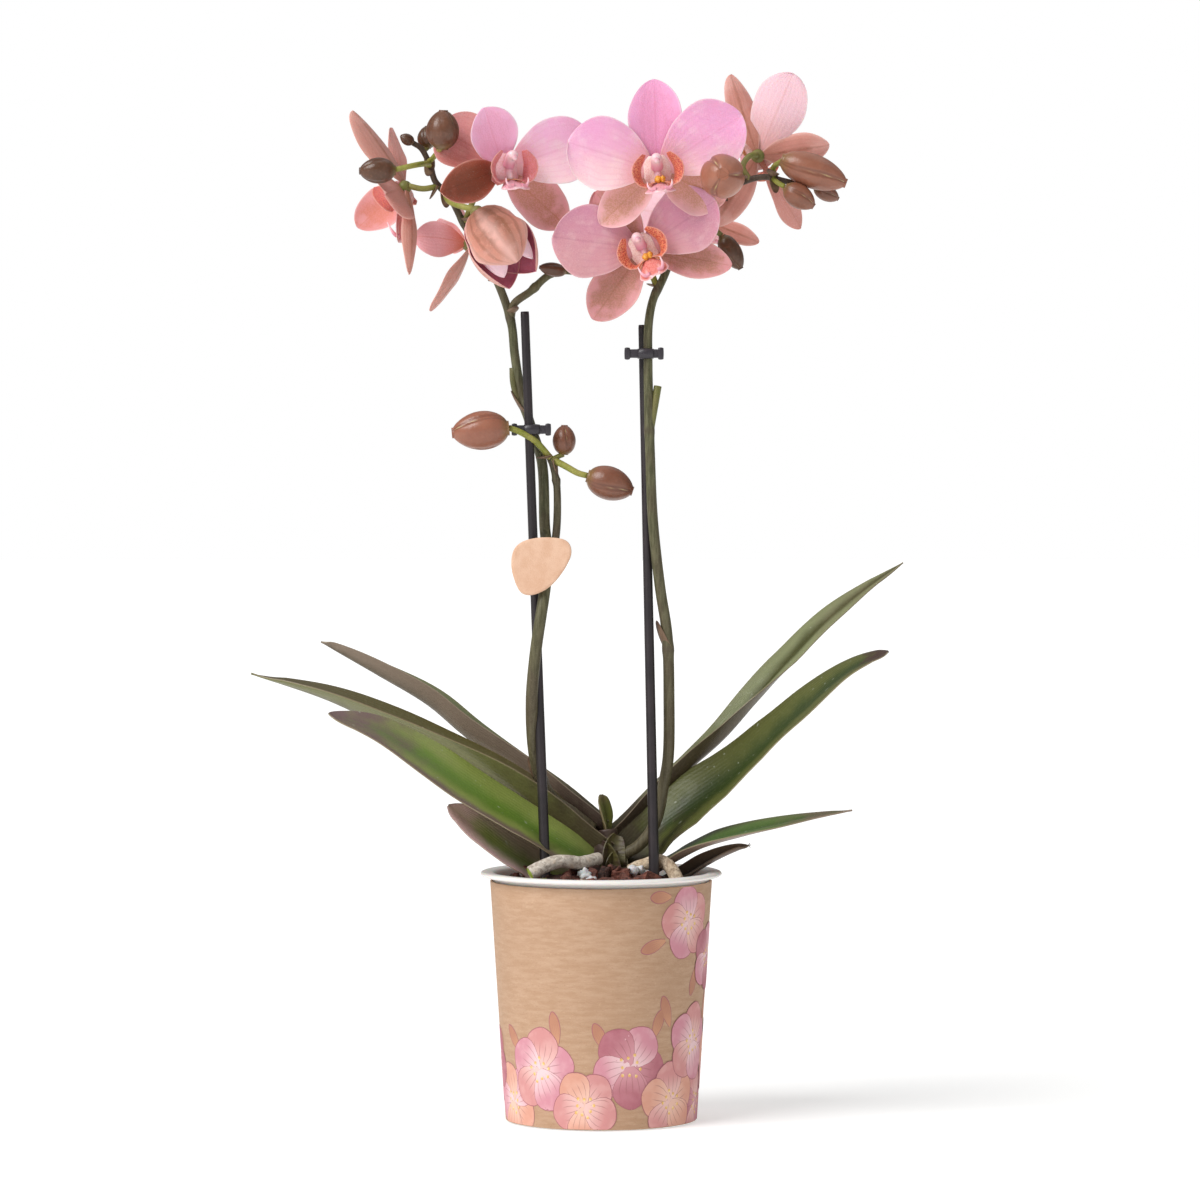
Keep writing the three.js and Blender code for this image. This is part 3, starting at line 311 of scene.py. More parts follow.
        for axis in range(3):
            first, second = [a for a in range(3) if a != axis]
            for end in (0, parts):
                for i in range(parts):
                    for j in range(parts):
                        square = []
                        for di, dj in ((0, 0), (1, 0), (1, 1), (0, 1)):
                            spot = [0, 0, 0]
                            spot[axis] = end
                            spot[first] = i + di
                            spot[second] = j + dj
                            square.append(corner(*spot))
                        if (end == 0) == (axis != 1):
                            square.reverse()
                        self.face(square, kind, round_off > 0.2)

    def build(self, name, looks, replaced):
        mesh = bpy.data.meshes.new(name)
        mesh.from_pydata([tuple(p) for p in self.points], [], self.faces)
        mesh.polygons.foreach_set("use_smooth", self.smooth)
        for look in looks:
            mesh.materials.append(look)
        mesh.polygons.foreach_set("material_index", self.kinds)
        for mark, values in zip(MARKS, zip(*self.marks)):
            mesh.attributes.new(mark, "FLOAT", "POINT").data.foreach_set("value", values)
        mesh.update()
        piece = bpy.data.objects.new(name, mesh)
        bpy.context.scene.collection.objects.link(piece)
        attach(piece, BODY)
        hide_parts(*replaced)
        return piece


class Field:
    """A number or colour that varies over a surface: the output of one of a look's nodes."""

    def __init__(self, look, socket):
        self.look = look
        self.socket = socket

    def __add__(self, other):
        return self.look.math("ADD", self, other)

    def __sub__(self, other):
        return self.look.math("SUBTRACT", self, other)

    def __rsub__(self, other):
        return self.look.math("SUBTRACT", other, self)

    def __mul__(self, other):
        return self.look.math("MULTIPLY", self, other)

    def __abs__(self):
        return self.look.math("ABSOLUTE", self)

    def sine(self):
        return self.look.math("SINE", self)

    def most(self, other):
        return self.look.math("MAXIMUM", self, other)

    def between(self, low, high):
        """A number that runs from low to high as this one runs from 0 to 1."""
        return self.look.node("MapRange", {"Value": self, "To Min": low, "To Max": high})

    def step(self, low, high):
        """0 below low and 1 above high, with a soft step between them."""
        inputs = {"Value": self, "From Min": low, "From Max": high}
        return self.look.node("MapRange", inputs, interpolation_type="SMOOTHSTEP")

    def fade(self, low, high):
        """1 below low and 0 above high, with a soft step between them."""
        return 1 - self.step(low, high)

    def near(self, target, width):
        """1 where this is at target, falling to 0 at width from it."""
        return abs(self - target).fade(0, width)

    def under(self, colour, share):
        """This colour with a share of another one over it."""
        return self.look.blend(share, self, colour)


class Look:
    """A procedural material, made node by node."""

    def __init__(self, name, roughness, **sockets):
        self.material = bpy.data.materials.new(name)
        self.material.use_nodes = True
        self.tree = self.material.node_tree
        self.shader = self.tree.nodes["Principled BSDF"]
        for socket, value in {"Roughness": roughness, **sockets}.items():
            self.feed(self.shader.inputs[socket.replace("_", " ")], value)

    def feed(self, socket, value):
        if isinstance(value, Field):
            self.tree.links.new(value.socket, socket)
        else:
            socket.default_value = tint(*value) if socket.type == "RGBA" else value

    def node(self, kind, inputs=None, output=0, **settings):
        node = self.tree.nodes.new("ShaderNode" + kind)
        for key, value in settings.items():
            setattr(node, key, value)
        for socket, value in (inputs or {}).items():
            self.feed(node.inputs[socket], value)
        return Field(self, node.outputs[output])

    def mark(self, name):
        return self.node("Attribute", output="Fac", attribute_name=name)

    def math(self, operation, first, second=0.0):
        return self.node("Math", {0: first, 1: second}, operation=operation)

    def grain(self, size, detail=2.0, stretch=None, roughness=0.5):
        """Noise whose spots are about size millimetres across."""
        place = self.node("TexCoord", output="Object")
        if stretch:
            place = self.node("Mapping", {"Vector": place, "Scale": stretch})
        inputs = {"Vector": place, "Scale": 1 / (size * MM), "Detail": detail, "Roughness": roughness}
        return self.node("TexNoise", inputs)

    def blend(self, share, first, second):
        return self.node("Mix", {0: share, 6: first, 7: second}, 2, data_type="RGBA")

    def gloss(self, value, low, high):
        """Roughness that runs from low to high as value runs from 0 to 1."""
        self.feed(self.shader.inputs["Roughness"], value.between(low, high))

    def made(self, colour, height=None, depth=0.0):
        """The material in this colour, with bump of about depth millimetres where height is given."""
        self.feed(self.shader.inputs["Base Color"], colour)
        if height:
            inputs = {"Height": height, "Distance": depth * MM, "Strength": 1.0}
            self.feed(self.shader.inputs["Normal"], self.node("Bump", inputs))
        return self.material


# Petal looks: pink fronts with a fine grain, painted sparkle highlights and faint veins, and plainer backs
def petal_look(name, upper, lower, heart, rim, vein, back, back_heart):
    look = Look(name, 0.55, Subsurface_Weight=0.12, Subsurface_Scale=0.002, Sheen_Weight=0.06,
                Specular_IOR_Level=0.3)
    along, signed = look.mark("along"), look.mark("across")
    across = abs(signed)
    cells = look.grain(0.45, 3, roughness=0.6)
    drift = look.grain(5, 3)
    height = (look.mark("tone") + look.grain(7, 2) * 0.6).step(0, 0.95)
    front = look.blend(height, lower, upper)
    front = front.under(rim, drift.step(0.45, 0.75) * 0.35)
    front = front.under(heart, along.fade(0, 0.38) * 0.6)
    front = front.under(heart, cells.step(0.5, 0.6) * along.fade(0.15, 0.7) * 0.4)
    lines = ((signed + drift * 0.16) * 34).sine()
    veins = lines.step(0.4, 1) * drift.step(0.3, 0.6) * along.fade(0.5, 1)
    front = front.under(vein, veins * 0.15)
    front = front.under(vein, across.fade(0, 0.05) * 0.3)
    front = front.under(rim, across.step(0.93, 1).most(along.step(0.985, 1)) * 0.5)
    rear = look.blend(along.fade(0, 0.6), back, back_heart)
    rear = rear.under(back_heart, across.fade(0, 0.07) * 0.35)
    rear = rear.under(rim, across.step(0.9, 1) * 0.5)
    rear = rear.under(back_heart, veins * 0.1)
    colour = rear.under(front, look.mark("face").step(0.4, 0.6))
    # Near-white flecks on the cell grain: painted sparkle highlights
    colour = colour.under((255, 238, 236), cells.step(0.52, 0.75) * 0.22)
    colour = colour.under(vein, cells.fade(0.28, 0.48) * 0.24)
    return look.made(colour, cells + lines * 0.1, 0.16)


def sepal_look(name, skin, speckle, rim, back, back_rib, mottle=0.9, rib=0.2, ridge=0.0):
    look = Look(name, 0.5, Subsurface_Weight=0.1, Subsurface_Scale=0.002, Sheen_Weight=0.06,
                Specular_IOR_Level=0.3)
    along, signed = look.mark("along"), look.mark("across")
    across = abs(signed)
    spots = look.grain(0.55, 2)
    clouds = look.grain(5, 3)
    shift = (clouds - 0.5) * 0.9
    inner = (across + shift).fade(0.4, 0.95) * (along + shift).fade(0.72, 1.05) * mottle
    front = look.blend(inner * 0.55, skin, speckle)
    front = front.under(speckle, spots.step(0.46, 0.56) * inner * 0.5)
    front = front.under(speckle, across.fade(0, 0.06) * 0.4)
    front = front.under(rim, across.step(0.88, 1) * 0.55)
    rear = look.blend(look.grain(2.5, 3) * 0.3, back, back_rib)
    lines = ((signed + clouds * 0.2) * 22).sine()
    rear = rear.under(back_rib, lines.step(0, 1) * (0.1 + 0.5 * ridge))
    middle = (across + shift * 0.4).fade(0, rib)
    rear = rear.under(back_rib, middle * clouds.step(0.35, 0.65).between(0.3, 0.9))
    # A pale line along the back's midrib, as strong as ridge: a painted highlight on the ridge
    rear = rear.under(rim, (signed + shift * 0.3).near(0.06, 0.3) * ridge)
    rear = rear.under(back_rib, along.fade(0, 0.45) * 0.6)
    rear = rear.under(rim, (along + shift).step(0.6, 1.1) * 0.5)
    rear = rear.under(rim, across.step(0.7, 1) * 0.6)
    colour = rear.under(front, look.mark("face").step(0.4, 0.6))
    colour = colour.under((252, 226, 208), spots.step(0.56, 0.78) * 0.14)
    return look.made(colour, spots + lines * 0.1, 0.14)


# Petal colours: upper, lower, heart, rim, vein, back and the back's heart
PETAL_TINTS = {
    "pink": ((242, 170, 210), (252, 208, 212), (220, 146, 138), (255, 228, 230), (220, 134, 172),
             (236, 180, 190), (210, 138, 134)),
    # A lighter copy of the pink colours for bloom C's right petal: painted light on a petal that turns away
    # from the light
    "pink_painted_light": ((255, 192, 228), (255, 220, 224), (232, 156, 148), (255, 236, 238), (232, 150, 186),
              (236, 180, 190), (210, 138, 134)),
    # A darker copy of the pink colours for bloom B: painted shade, as bloom A shades it
    "pink_painted_shade": ((214, 148, 172), (220, 162, 168), (184, 112, 108), (238, 200, 204), (184, 112, 134),
              (204, 148, 150), (170, 102, 94)),
    "pale": ((240, 190, 208), (240, 196, 202), (216, 152, 150), (252, 226, 226), (226, 164, 176),
             (242, 200, 210), (222, 166, 162)),
    "salmon": ((218, 146, 144), (222, 152, 138), (200, 108, 84), (242, 200, 190), (196, 118, 108),
               (212, 150, 140), (180, 108, 88)),
    "rose": ((238, 166, 172), (240, 168, 164), (222, 124, 96), (248, 208, 204), (218, 122, 122),
             (240, 172, 178), (222, 122, 96)),
    # A darker salmon copy for bloom C's left petal: painted shade on a petal that faces away from the light
    "salmon_painted_shade": ((220, 146, 146), (216, 134, 124), (180, 94, 74), (232, 176, 168), (172, 94, 84),
             (188, 116, 106), (150, 82, 64)),
}
# Sepal colours: skin, speckles, rim, back and the back's rib
SEPAL_TINTS = {
    "pink": ((240, 180, 184), (190, 130, 88), (248, 206, 206), (216, 156, 148), (172, 108, 88)),
    # A darker copy of the pink sepal colours for bloom B: painted shade, as bloom A shades it
    "pink_painted_shade": ((214, 150, 152), (156, 104, 66), (234, 184, 178), (194, 132, 122), (146, 86, 66)),
    "pale": ((220, 158, 152), (166, 106, 76), (234, 188, 180), (208, 144, 132), (150, 92, 68)),
    "salmon": ((206, 140, 126), (156, 96, 66), (232, 178, 166), (212, 152, 140), (164, 102, 76)),
    # Bloom F's colours: the skin and speckles are lifted to offset the shade inside the cup, so they are
    # partly its own pink and partly painted light; ridge paints a highlight on the back's midrib
    "gold": ((214, 128, 150), (184, 98, 120), (242, 190, 180), (222, 152, 134), (118, 68, 36)),
    # A lighter copy of the dorsal colours for bloom C's dorsal: painted light on a sepal in shade
    "dorsal_painted_light": ((255, 190, 222), (236, 148, 178), (255, 222, 234), (220, 160, 166), (176, 106, 100)),
    "rose": ((236, 160, 160), (216, 122, 92), (248, 204, 198), (240, 172, 174), (216, 120, 92)),
    "dorsal": ((240, 166, 206), (214, 124, 156), (248, 206, 222), (220, 160, 166), (176, 106, 100)),
    # A darker copy of the sepal colours for bloom C's cupped left sepal: painted shade on its inside
    "dark": ((160, 84, 62), (112, 58, 34), (226, 164, 150), (198, 130, 114), (140, 74, 52)),
}
SEPAL_TRAITS = {
    "gold": dict(rib=0.9, ridge=0.6),
    "dorsal_painted_light": dict(mottle=0.45),
    "dorsal": dict(mottle=0.45),
}
PETAL_LOOKS = {key: petal_look("petal_" + key, *tints) for key, tints in PETAL_TINTS.items()}
SEPAL_LOOKS = {key: sepal_look("sepal_" + key, *tints, **SEPAL_TRAITS.get(key, {}))
               for key, tints in SEPAL_TINTS.items()}


def lobe_look():
    look = Look("lip_lobe", 0.4, Subsurface_Weight=0.1, Subsurface_Scale=0.0015, Coat_Weight=0.1)
    specks = look.grain(0.42, 2).step(0.44, 0.56)
    fire = look.blend(specks, (190, 66, 50), (232, 128, 96))
    fire = fire.under((238, 168, 110), look.grain(0.5, 1).step(0.56, 0.64) * 0.6)
    soft = look.blend(specks * 0.6, (226, 138, 146), (206, 96, 92))
    colour = soft.under(fire, look.mark("tone"))
    colour = colour.under((240, 178, 164), abs(look.mark("across")).step(0.8, 1) * 0.7)
    colour = colour.under((236, 178, 120), look.mark("along").fade(0, 0.25) * 0.8)
    return look.made(colour, specks, 0.1)


def middle_look():
    look = Look("lip_middle", 0.42, Subsurface_Weight=0.1, Subsurface_Scale=0.0015, Coat_Weight=0.1)
    along, across, tone = look.mark("along"), abs(look.mark("across")), look.mark("tone")
    spots = look.grain(0.5, 2).step(0.45, 0.6)
    colour = look.blend(tone, (234, 176, 192), (228, 122, 98))
    colour = colour.under((204, 78, 66), spots * tone.between(0.2, 0.65))
    colour = colour.under((250, 226, 226), across.near(0.42, 0.16) * along.step(0.45, 0.8) * 0.7)
    colour = colour.under((246, 210, 212), across.step(0.8, 1).most(along.step(0.88, 1)) * 0.75)
    return look.made(colour, spots, 0.08)


def column_look():
    look = Look("column", 0.4, Subsurface_Weight=0.15, Subsurface_Scale=0.002, Coat_Weight=0.15)
    colour = look.blend(look.mark("along").step(0.1, 0.8), (222, 144, 164), (240, 206, 208))
    colour = colour.under((236, 170, 184), look.grain(0.8, 2) * 0.3)
    return look.made(colour, look.grain(1.2, 2), 0.1)


def callus_look():
    look = Look("callus", 0.35, Coat_Weight=0.2)
    dots = look.grain(0.45, 1).step(0.56, 0.62)
    return look.made(look.blend(dots * 0.8, (240, 172, 56), (206, 84, 40)), look.grain(0.6, 2), 0.2)


def thread_look():
    look = Look("lip_thread", 0.4, Subsurface_Weight=0.1, Subsurface_Scale=0.001)
    colour = look.blend(look.mark("along").step(0.2, 0.9), (226, 150, 166), (244, 206, 212))
    return look.made(colour, look.grain(0.8, 1), 0.05)


def throat_look():
    look = Look("lip_throat", 0.45, Subsurface_Weight=0.12, Subsurface_Scale=0.002)
    colour = look.blend(look.mark("tone"), (238, 172, 186), (248, 206, 198))
    colour = colour.under((214, 116, 104), look.grain(0.45, 2).step(0.5, 0.58) * 0.45)
    colour = colour.under((255, 236, 232), look.grain(2, 2) * 0.5)
    return look.made(colour, look.grain(0.8, 2), 0.1)


def stem_look():
    look = Look("stem", 0.5, Coat_Weight=0.05, Specular_IOR_Level=0.3)
    streaks = look.grain(0.9, 3, (1, 1, 0.12))
    blotches = look.grain(5, 3, (1, 1, 0.4))
    dots = look.grain(0.5, 1).step(0.6, 0.68)
    olive = look.blend(streaks.step(0.35, 0.65), (74, 74, 48), (104, 102, 74))
    olive = olive.under((78, 64, 50), blotches.step(0.45, 0.65) * 0.45)
    olive = olive.under((94, 78, 64), look.mark("along").fade(0.1, 0.5) * 0.45)
    fresh = look.blend(blotches.step(0.35, 0.65), (134, 140, 54), (160, 154, 82))
    fresh = fresh.under((122, 96, 60), streaks.step(0.5, 0.7) * 0.3)
    dusk = look.blend(streaks, (58, 44, 38), (92, 74, 64))
    colour = olive.under(fresh, look.mark("tone")).under(dusk, 1 - look.mark("face"))
    colour = colour.under((150, 140, 112), dots * 0.14)
    return look.made(colour, streaks + dots * 0.4, 0.16)


def scale_look():
    look = Look("stem_scale", 0.6)
    streaks = look.grain(0.8, 3, (1, 1, 0.15))
    colour = look.blend(streaks, (92, 70, 52), (144, 116, 92))
    return look.made(colour.under((84, 58, 46), look.mark("along").step(0.6, 1)), streaks, 0.2)


def bud_look():
    look = Look("bud", 0.4, Subsurface_Weight=0.05, Subsurface_Scale=0.002, Coat_Weight=0.12,
                Coat_Roughness=0.3)
    along, seam, tone = look.mark("along"), look.mark("across"), look.mark("tone")
    streaks = look.grain(1.1, 3)
    clouds = look.grain(5, 2)
    dusky = look.blend(clouds, (64, 40, 22), (94, 58, 34))
    colour = dusky.under(look.blend(clouds, (140, 84, 64), (172, 112, 88)), tone)
    colour = colour.under((186, 130, 108), streaks.step(0.5, 0.75) * 0.1)
    colour = colour.under((134, 116, 62), along.fade(0, 0.2) * 0.5)
    reach = along.step(0.3, 0.85) * along.fade(0.95, 0.98) * tone.step(-0.6, 0.9)
    colour = colour.under((206, 190, 134), seam.fade(0, 0.07) * reach * 0.9)
    colour = colour.under((84, 46, 32), seam.near(0.12, 0.12) * 0.4)
    look.gloss(clouds, 0.28, 0.42)
    return look.made(colour, streaks, 0.15)


def leaf_look(name, heart, deep, rim, under, under_rib, tip=0.8, edge=0.5, base=0.8, tip_from=0.62,
              base_to=0.34):
    look = Look(name, 0.42, Coat_Weight=0.06, Specular_IOR_Level=0.35)
    along, signed = look.mark("along"), look.mark("across")
    across = abs(signed)
    face = look.mark("face").step(0.4, 0.6)
    clouds = look.grain(9, 3)
    fine = look.grain(1.2, 3)
    shift = (clouds - 0.5) * 0.5
    upper = look.blend((across + shift).step(0.05, 0.7), deep, heart)
    tip_share = (along + shift).step(tip_from, 1) * tip
    edge_share = (signed * 0.35 + across + shift).step(0.8, 1.3) * edge
    upper = upper.under(rim, tip_share.most(edge_share))
    upper = upper.under(deep, across.fade(0, 0.05) * 0.4)
    lower = look.blend((1 - across + shift).step(0.3, 1), under, under_rib)
    colour = lower.under(upper, face)
    colour = colour.under((66, 50, 42), (along + shift).fade(0.02, base_to) * base)
    colour = colour.under((166, 166, 130), fine.step(0.5, 0.8) * 0.08)
    colour = colour.under((150, 132, 108), across.step(0.97, 1) * 0.4)
    drops = look.grain(1.8, 0).step(0.81, 0.83)
    colour = colour.under((206, 212, 196), drops * (face * 0.25))
    look.gloss(clouds, 0.36, 0.5)
    return look.made(colour, (signed * 60).sine() * 0.16 + fine, 0.12)


# Leaf colours: heart, deep green, rim, underside and its rib, and how far each of them reaches
LEAF_TINTS = {
    "leaf_new": ((118, 122, 58), (88, 90, 42), (104, 88, 58), (118, 106, 62), (94, 82, 50)),
    "leaf_left_1": ((108, 112, 80), (84, 88, 54), (112, 102, 90), (128, 112, 96), (92, 80, 62)),
    "leaf_left_2": ((86, 80, 42), (60, 50, 28), (72, 54, 44), (112, 112, 66), (88, 82, 46)),
    "leaf_left_3": ((136, 150, 74), (98, 128, 42), (112, 86, 86), (140, 136, 100), (120, 112, 78)),
    # leaf_left_4's tints are lifted: partly its own colours and partly painted light against the shadow that
    # leaf_left_3 casts on it
    "leaf_left_4": ((176, 156, 138), (126, 136, 70), (194, 158, 158), (126, 102, 94), (134, 110, 98)),
    "leaf_right_1": ((136, 142, 100), (74, 76, 34), (112, 96, 74), (86, 76, 52), (70, 60, 40)),
    "leaf_right_2": ((84, 88, 38), (48, 62, 18), (64, 42, 34), (144, 136, 104), (126, 114, 82)),
    "leaf_right_3": ((80, 104, 48), (60, 88, 28), (108, 82, 78), (124, 104, 90), (98, 80, 64)),
    "leaf_right_4": ((92, 76, 62), (74, 60, 50), (106, 82, 66), (98, 80, 68), (78, 60, 48)),
}
LEAF_TRAITS = {
    "leaf_new": dict(base=0.5),
    "leaf_left_1": dict(edge=0.8, base_to=0.5),
    "leaf_left_2": dict(tip=0.35, edge=0.7, base_to=0.45),
    "leaf_left_3": dict(tip=0.98, edge=0.9, base=0.3, tip_from=0.55),
    "leaf_left_4": dict(edge=0.98, base=0.2),
    "leaf_right_1": dict(tip=0.4, edge=0.15, base=0.9, base_to=0.46),
    "leaf_right_2": dict(tip=0.98, edge=0.1, base=0.75, tip_from=0.88, base_to=0.26),
    "leaf_right_3": dict(tip=0.9, edge=0.3, base=0.4),
    "leaf_right_4": dict(),
}


def crown_look():
    look = Look("crown", 0.5)
    rings = look.grain(1.6, 3, (0.3, 0.3, 1.6))
    colour = look.blend(look.grain(6, 3).step(0.4, 0.62), (74, 54, 46), (92, 86, 46))
    return look.made(colour.under((52, 38, 32), rings.step(0.45, 0.7) * 0.5), rings, 0.4)


def root_look(name, pale, dark, patch):
    look = Look(name, 0.75)
    papery = look.grain(1.6, 4, roughness=0.65)
    cracks = look.grain(3.2, 4, roughness=0.7)
    colour = look.blend(papery.step(0.3, 0.68), dark, pale)
    colour = colour.under(patch, cracks.step(0.54, 0.64) * 0.6)
    colour = colour.under((104, 88, 80), cracks.near(0.42, 0.03) * 0.5)
    return look.made(colour, papery + cracks, 0.45)


def root_tip_look():
    look = Look("root_tip", 0.4, Coat_Weight=0.2)
    colour = look.blend(look.mark("tone").step(0.5, 1), (168, 196, 64), (122, 138, 48))
    return look.made(colour.under((206, 208, 120), look.grain(0.8, 2) * 0.4), look.grain(1, 2), 0.2)


def bark_look(name, dark, light):
    look = Look(name, 0.72)
    layers = look.grain(2.2, 4, (1, 1, 2.4), 0.65)
    fine = look.grain(0.7, 3)
    colour = look.blend(layers.step(0.35, 0.66), dark, light)
    colour = colour.under((160, 116, 92), fine.step(0.55, 0.75) * 0.3)
    return look.made(colour, layers + fine * 0.4, 0.8)


def fibre_look():
    look = Look("bark_fibre", 0.7)
    return look.made(look.blend(look.grain(1.5, 2), (120, 80, 54), (186, 144, 108)), look.grain(0.5, 2), 0.1)


def crumb_look():
    look = Look("white_crumb", 0.8, Subsurface_Weight=0.2, Subsurface_Scale=0.002)
    colour = look.blend(look.grain(1.6, 3), (186, 188, 190), (238, 238, 236))
    return look.made(colour, look.grain(0.8, 3), 0.3)


def plastic_look(name, colour, roughness, worn, coat):
    look = Look(name, roughness, Coat_Weight=coat)
    clouds = look.grain(14, 3)
    look.gloss(clouds, roughness * 0.85, roughness * 1.15)
    return look.made(look.blend(clouds.step(0.4, 0.75) * 0.5, colour, worn), look.grain(0.6, 2), 0.05)


def pot_look():
    look = Look("pot", 0.42, Subsurface_Weight=0.15, Subsurface_Scale=0.004, Coat_Weight=0.05)
    clouds = look.grain(12, 3)
    dust = look.grain(2.4, 4).step(0.55, 0.7) * look.mark("along").fade(0.88, 0.96)
    colour = look.blend(clouds, (228, 225, 220), (236, 234, 230)).under((176, 160, 142), dust * 0.3)
    look.gloss(clouds, 0.36, 0.48)
    return look.made(colour, look.grain(0.7, 2), 0.05)


# The drain holes are flat dark discs on the base: painted shade where the openings would be
def hole_shade_look():
    look = Look("drain_hole_shade", 0.9)
    return look.made(look.blend(look.grain(2, 2), (22, 16, 14), (44, 30, 24)))


def card_look():
    look = Look("card", 0.78, Sheen_Weight=0.05)
    bands = look.grain(2.2, 4, (0.3, 0.3, 1.5), 0.6)
    fibres = look.grain(0.5, 3, (0.5, 0.5, 1.2))
    colour = look.blend(bands.step(0.32, 0.7), (178, 142, 112), (190, 156, 128))
    colour = colour.under((172, 136, 106), look.grain(24, 3).step(0.35, 0.7) * 0.3)
    colour = colour.under((212, 182, 150), fibres.step(0.6, 0.72) * 0.25)
    colour = colour.under((156, 112, 80), fibres.fade(0.3, 0.4) * 0.3)
    return look.made(colour, bands * 0.6 + fibres, 0.1)


def tag_look():
    look = Look("tag_card", 0.8)
    fibres = look.grain(0.45, 3)
    colour = look.blend(look.grain(4, 3).step(0.3, 0.7), (218, 174, 144), (228, 188, 160))
    colour = colour.under((238, 206, 182), fibres.step(0.55, 0.7) * 0.35)
    colour = colour.under((204, 152, 118), fibres.fade(0.3, 0.42) * 0.3)
    return look.made(colour, fibres, 0.12)


def print_look(name, outer, inner, line=(148, 88, 92)):
    """Flat printed colour on card: lighter at the petal's foot, with thin drawn veins."""
    look = Look(name, 0.7)
    along = look.mark("along")
    colour = look.blend(along.step(0.05, 0.75), inner, outer)
    colour = colour.under(inner, look.grain(5, 2).step(0.4, 0.7) * 0.25)
    drawn = (look.mark("across") * 17).sine().step(0.86, 1)
    reach = along.step(0.1, 0.25) * along.fade(0.5, 0.7)
    colour = colour.under(line, drawn * reach * 0.55)
    return look.made(colour.under((206, 166, 130), look.grain(0.4, 2) * 0.12))


PRINT_LOOKS = [
    print_look("print_pink", (204, 136, 152), (236, 202, 206)),
    print_look("print_rose", (204, 138, 138), (234, 194, 188)),
    print_look("print_peach", (212, 152, 132), (234, 192, 174)),
    print_look("print_mauve", (172, 98, 114), (210, 150, 160)),
    print_look("print_line", (160, 92, 104), (160, 92, 104)),
    print_look("print_gold", (226, 176, 96), (246, 222, 160), (180, 110, 50)),
    print_look("print_leaf", (176, 120, 96), (198, 144, 112)),
]
LIP_LOOKS = [lobe_look(), middle_look(), column_look(), callus_look(), thread_look(), throat_look()]
BARK_LOOKS = [
    bark_look("bark_1", (70, 36, 28), (118, 68, 54)),
    bark_look("bark_2", (42, 25, 21), (80, 48, 39)),
    bark_look("bark_3", (86, 44, 34), (136, 80, 64)),
    fibre_look(),
    crumb_look(),
]
ROOT_LOOKS = {
    "silver": root_look("root_silver", (222, 214, 202), (178, 164, 150), (190, 164, 136)),
    "tan": root_look("root_tan", (214, 196, 170), (166, 142, 116), (188, 152, 110)),
    "green": root_look("root_green", (158, 160, 84), (112, 112, 54), (132, 120, 66)),
}
STEM_LOOKS = [stem_look(), scale_look()]
BUD_LOOK = bud_look()
STAKE_LOOK = plastic_look("stake", (31, 24, 28), 0.45, (56, 44, 48), 0.05)
CLIP_LOOK = plastic_look("clip", (44, 40, 46), 0.38, (62, 56, 64), 0.1)


# Leaves: a midrib curve, a folded section that opens at the tip, and a roll to the front
LEAVES = {
    "leaf_new": dict(
        spine=[(2, 4, 107), (1, 4.4, 114), (0.2, 5, 121)],
        width=9, foot=0.7, peak=0.5, taper=0.42, fold=(24, 16), roll=(0, 0)),
    "leaf_left_1": dict(
        spine=[(0, 8, 106), (-10, 11, 113.5), (-21, 15, 121.5), (-51, 21, 142.5), (-65, 25, 154),
               (-84, 30, 165), (-106, 35, 177)],
        width=18.4, foot=0.85, peak=0.35, taper=0.5, fold=(66, 60), roll=(-6, -6), blunt=30),
    "leaf_left_2": dict(
        spine=[(1, 3, 97), (-10, 3.5, 104.5), (-20, 4, 112), (-38, 5, 123), (-60, 7, 135),
               (-80, 8.5, 146), (-102, 10, 156.5), (-131, 12, 166)],
        width=32, foot=0.6, peak=0.4, taper=0.75, fold=(64, 18), roll=(0, 4)),
    "leaf_left_3": dict(
        spine=[(-2, -3, 93), (-10, -4.5, 99.5), (-20, -6, 105.5), (-34, -10.5, 114), (-50, -15.5, 124.5),
               (-64, -19, 134.5), (-82, -23.5, 146), (-100, -28, 153)],
        width=28.5, foot=0.56, peak=0.5, taper=0.5, fold=(16, 6), roll=(42, 26)),
    "leaf_left_4": dict(
        spine=[(-4, -3, 88), (-14, -2, 89.2), (-24, -4, 93), (-30, -7, 96.6), (-37, -11, 101.6),
               (-45, -14, 108.6), (-56.5, -16, 118.4)],
        width=26, foot=0.6, peak=0.5, taper=0.6, fold=(20, 16), roll=(44, 42)),
    "leaf_right_1": dict(
        spine=[(4.5, 8, 100), (18.3, 15, 117.5), (35.2, 18, 132), (46.5, 20, 142), (57.5, 22, 154.5),
               (71, 25, 170), (85, 28, 184.5), (99, 32, 196), (114.3, 35, 207)],
        width=17, foot=0.38, peak=0.6, taper=0.85, sheath=0.8, fold=(70, 18), roll=(0, 24),
        opens=(0.3, 0.64)),
    "leaf_right_2": dict(
        spine=[(8, 4, 96), (20, 9, 106), (35, 7, 116.5), (48, 3, 126.2), (61, -2, 138.8), (74, -7, 151.8),
               (92, -12, 167.6), (105.8, -16, 175)],
        width=34, foot=0.52, peak=0.34, taper=0.32, fold=(24, 8), roll=(50, 15), blunt=30),
    "leaf_right_3": dict(
        spine=[(10, 1, 87), (19, 2.5, 91.5), (29, -3, 98), (38.5, -8.5, 103.2), (52, -14.5, 107.6),
               (65, -20, 111.2), (79, -23.5, 114.8), (92.3, -26, 117.4)],
        width=20, foot=0.55, peak=0.35, taper=0.9, fold=(20, 10), roll=(16, 12)),
    "leaf_right_4": dict(
        spine=[(13, 3, 84.5), (25.8, 4, 88), (32.5, 4.5, 91), (39, 5, 95), (46.5, 5.5, 98.8), (55, 6, 102)],
        width=10, foot=0.6, peak=0.5, taper=0.5, fold=(30, 50), roll=(20, 30)),
}
LEAF_STEPS = 46
LEAF_COLUMNS = 16


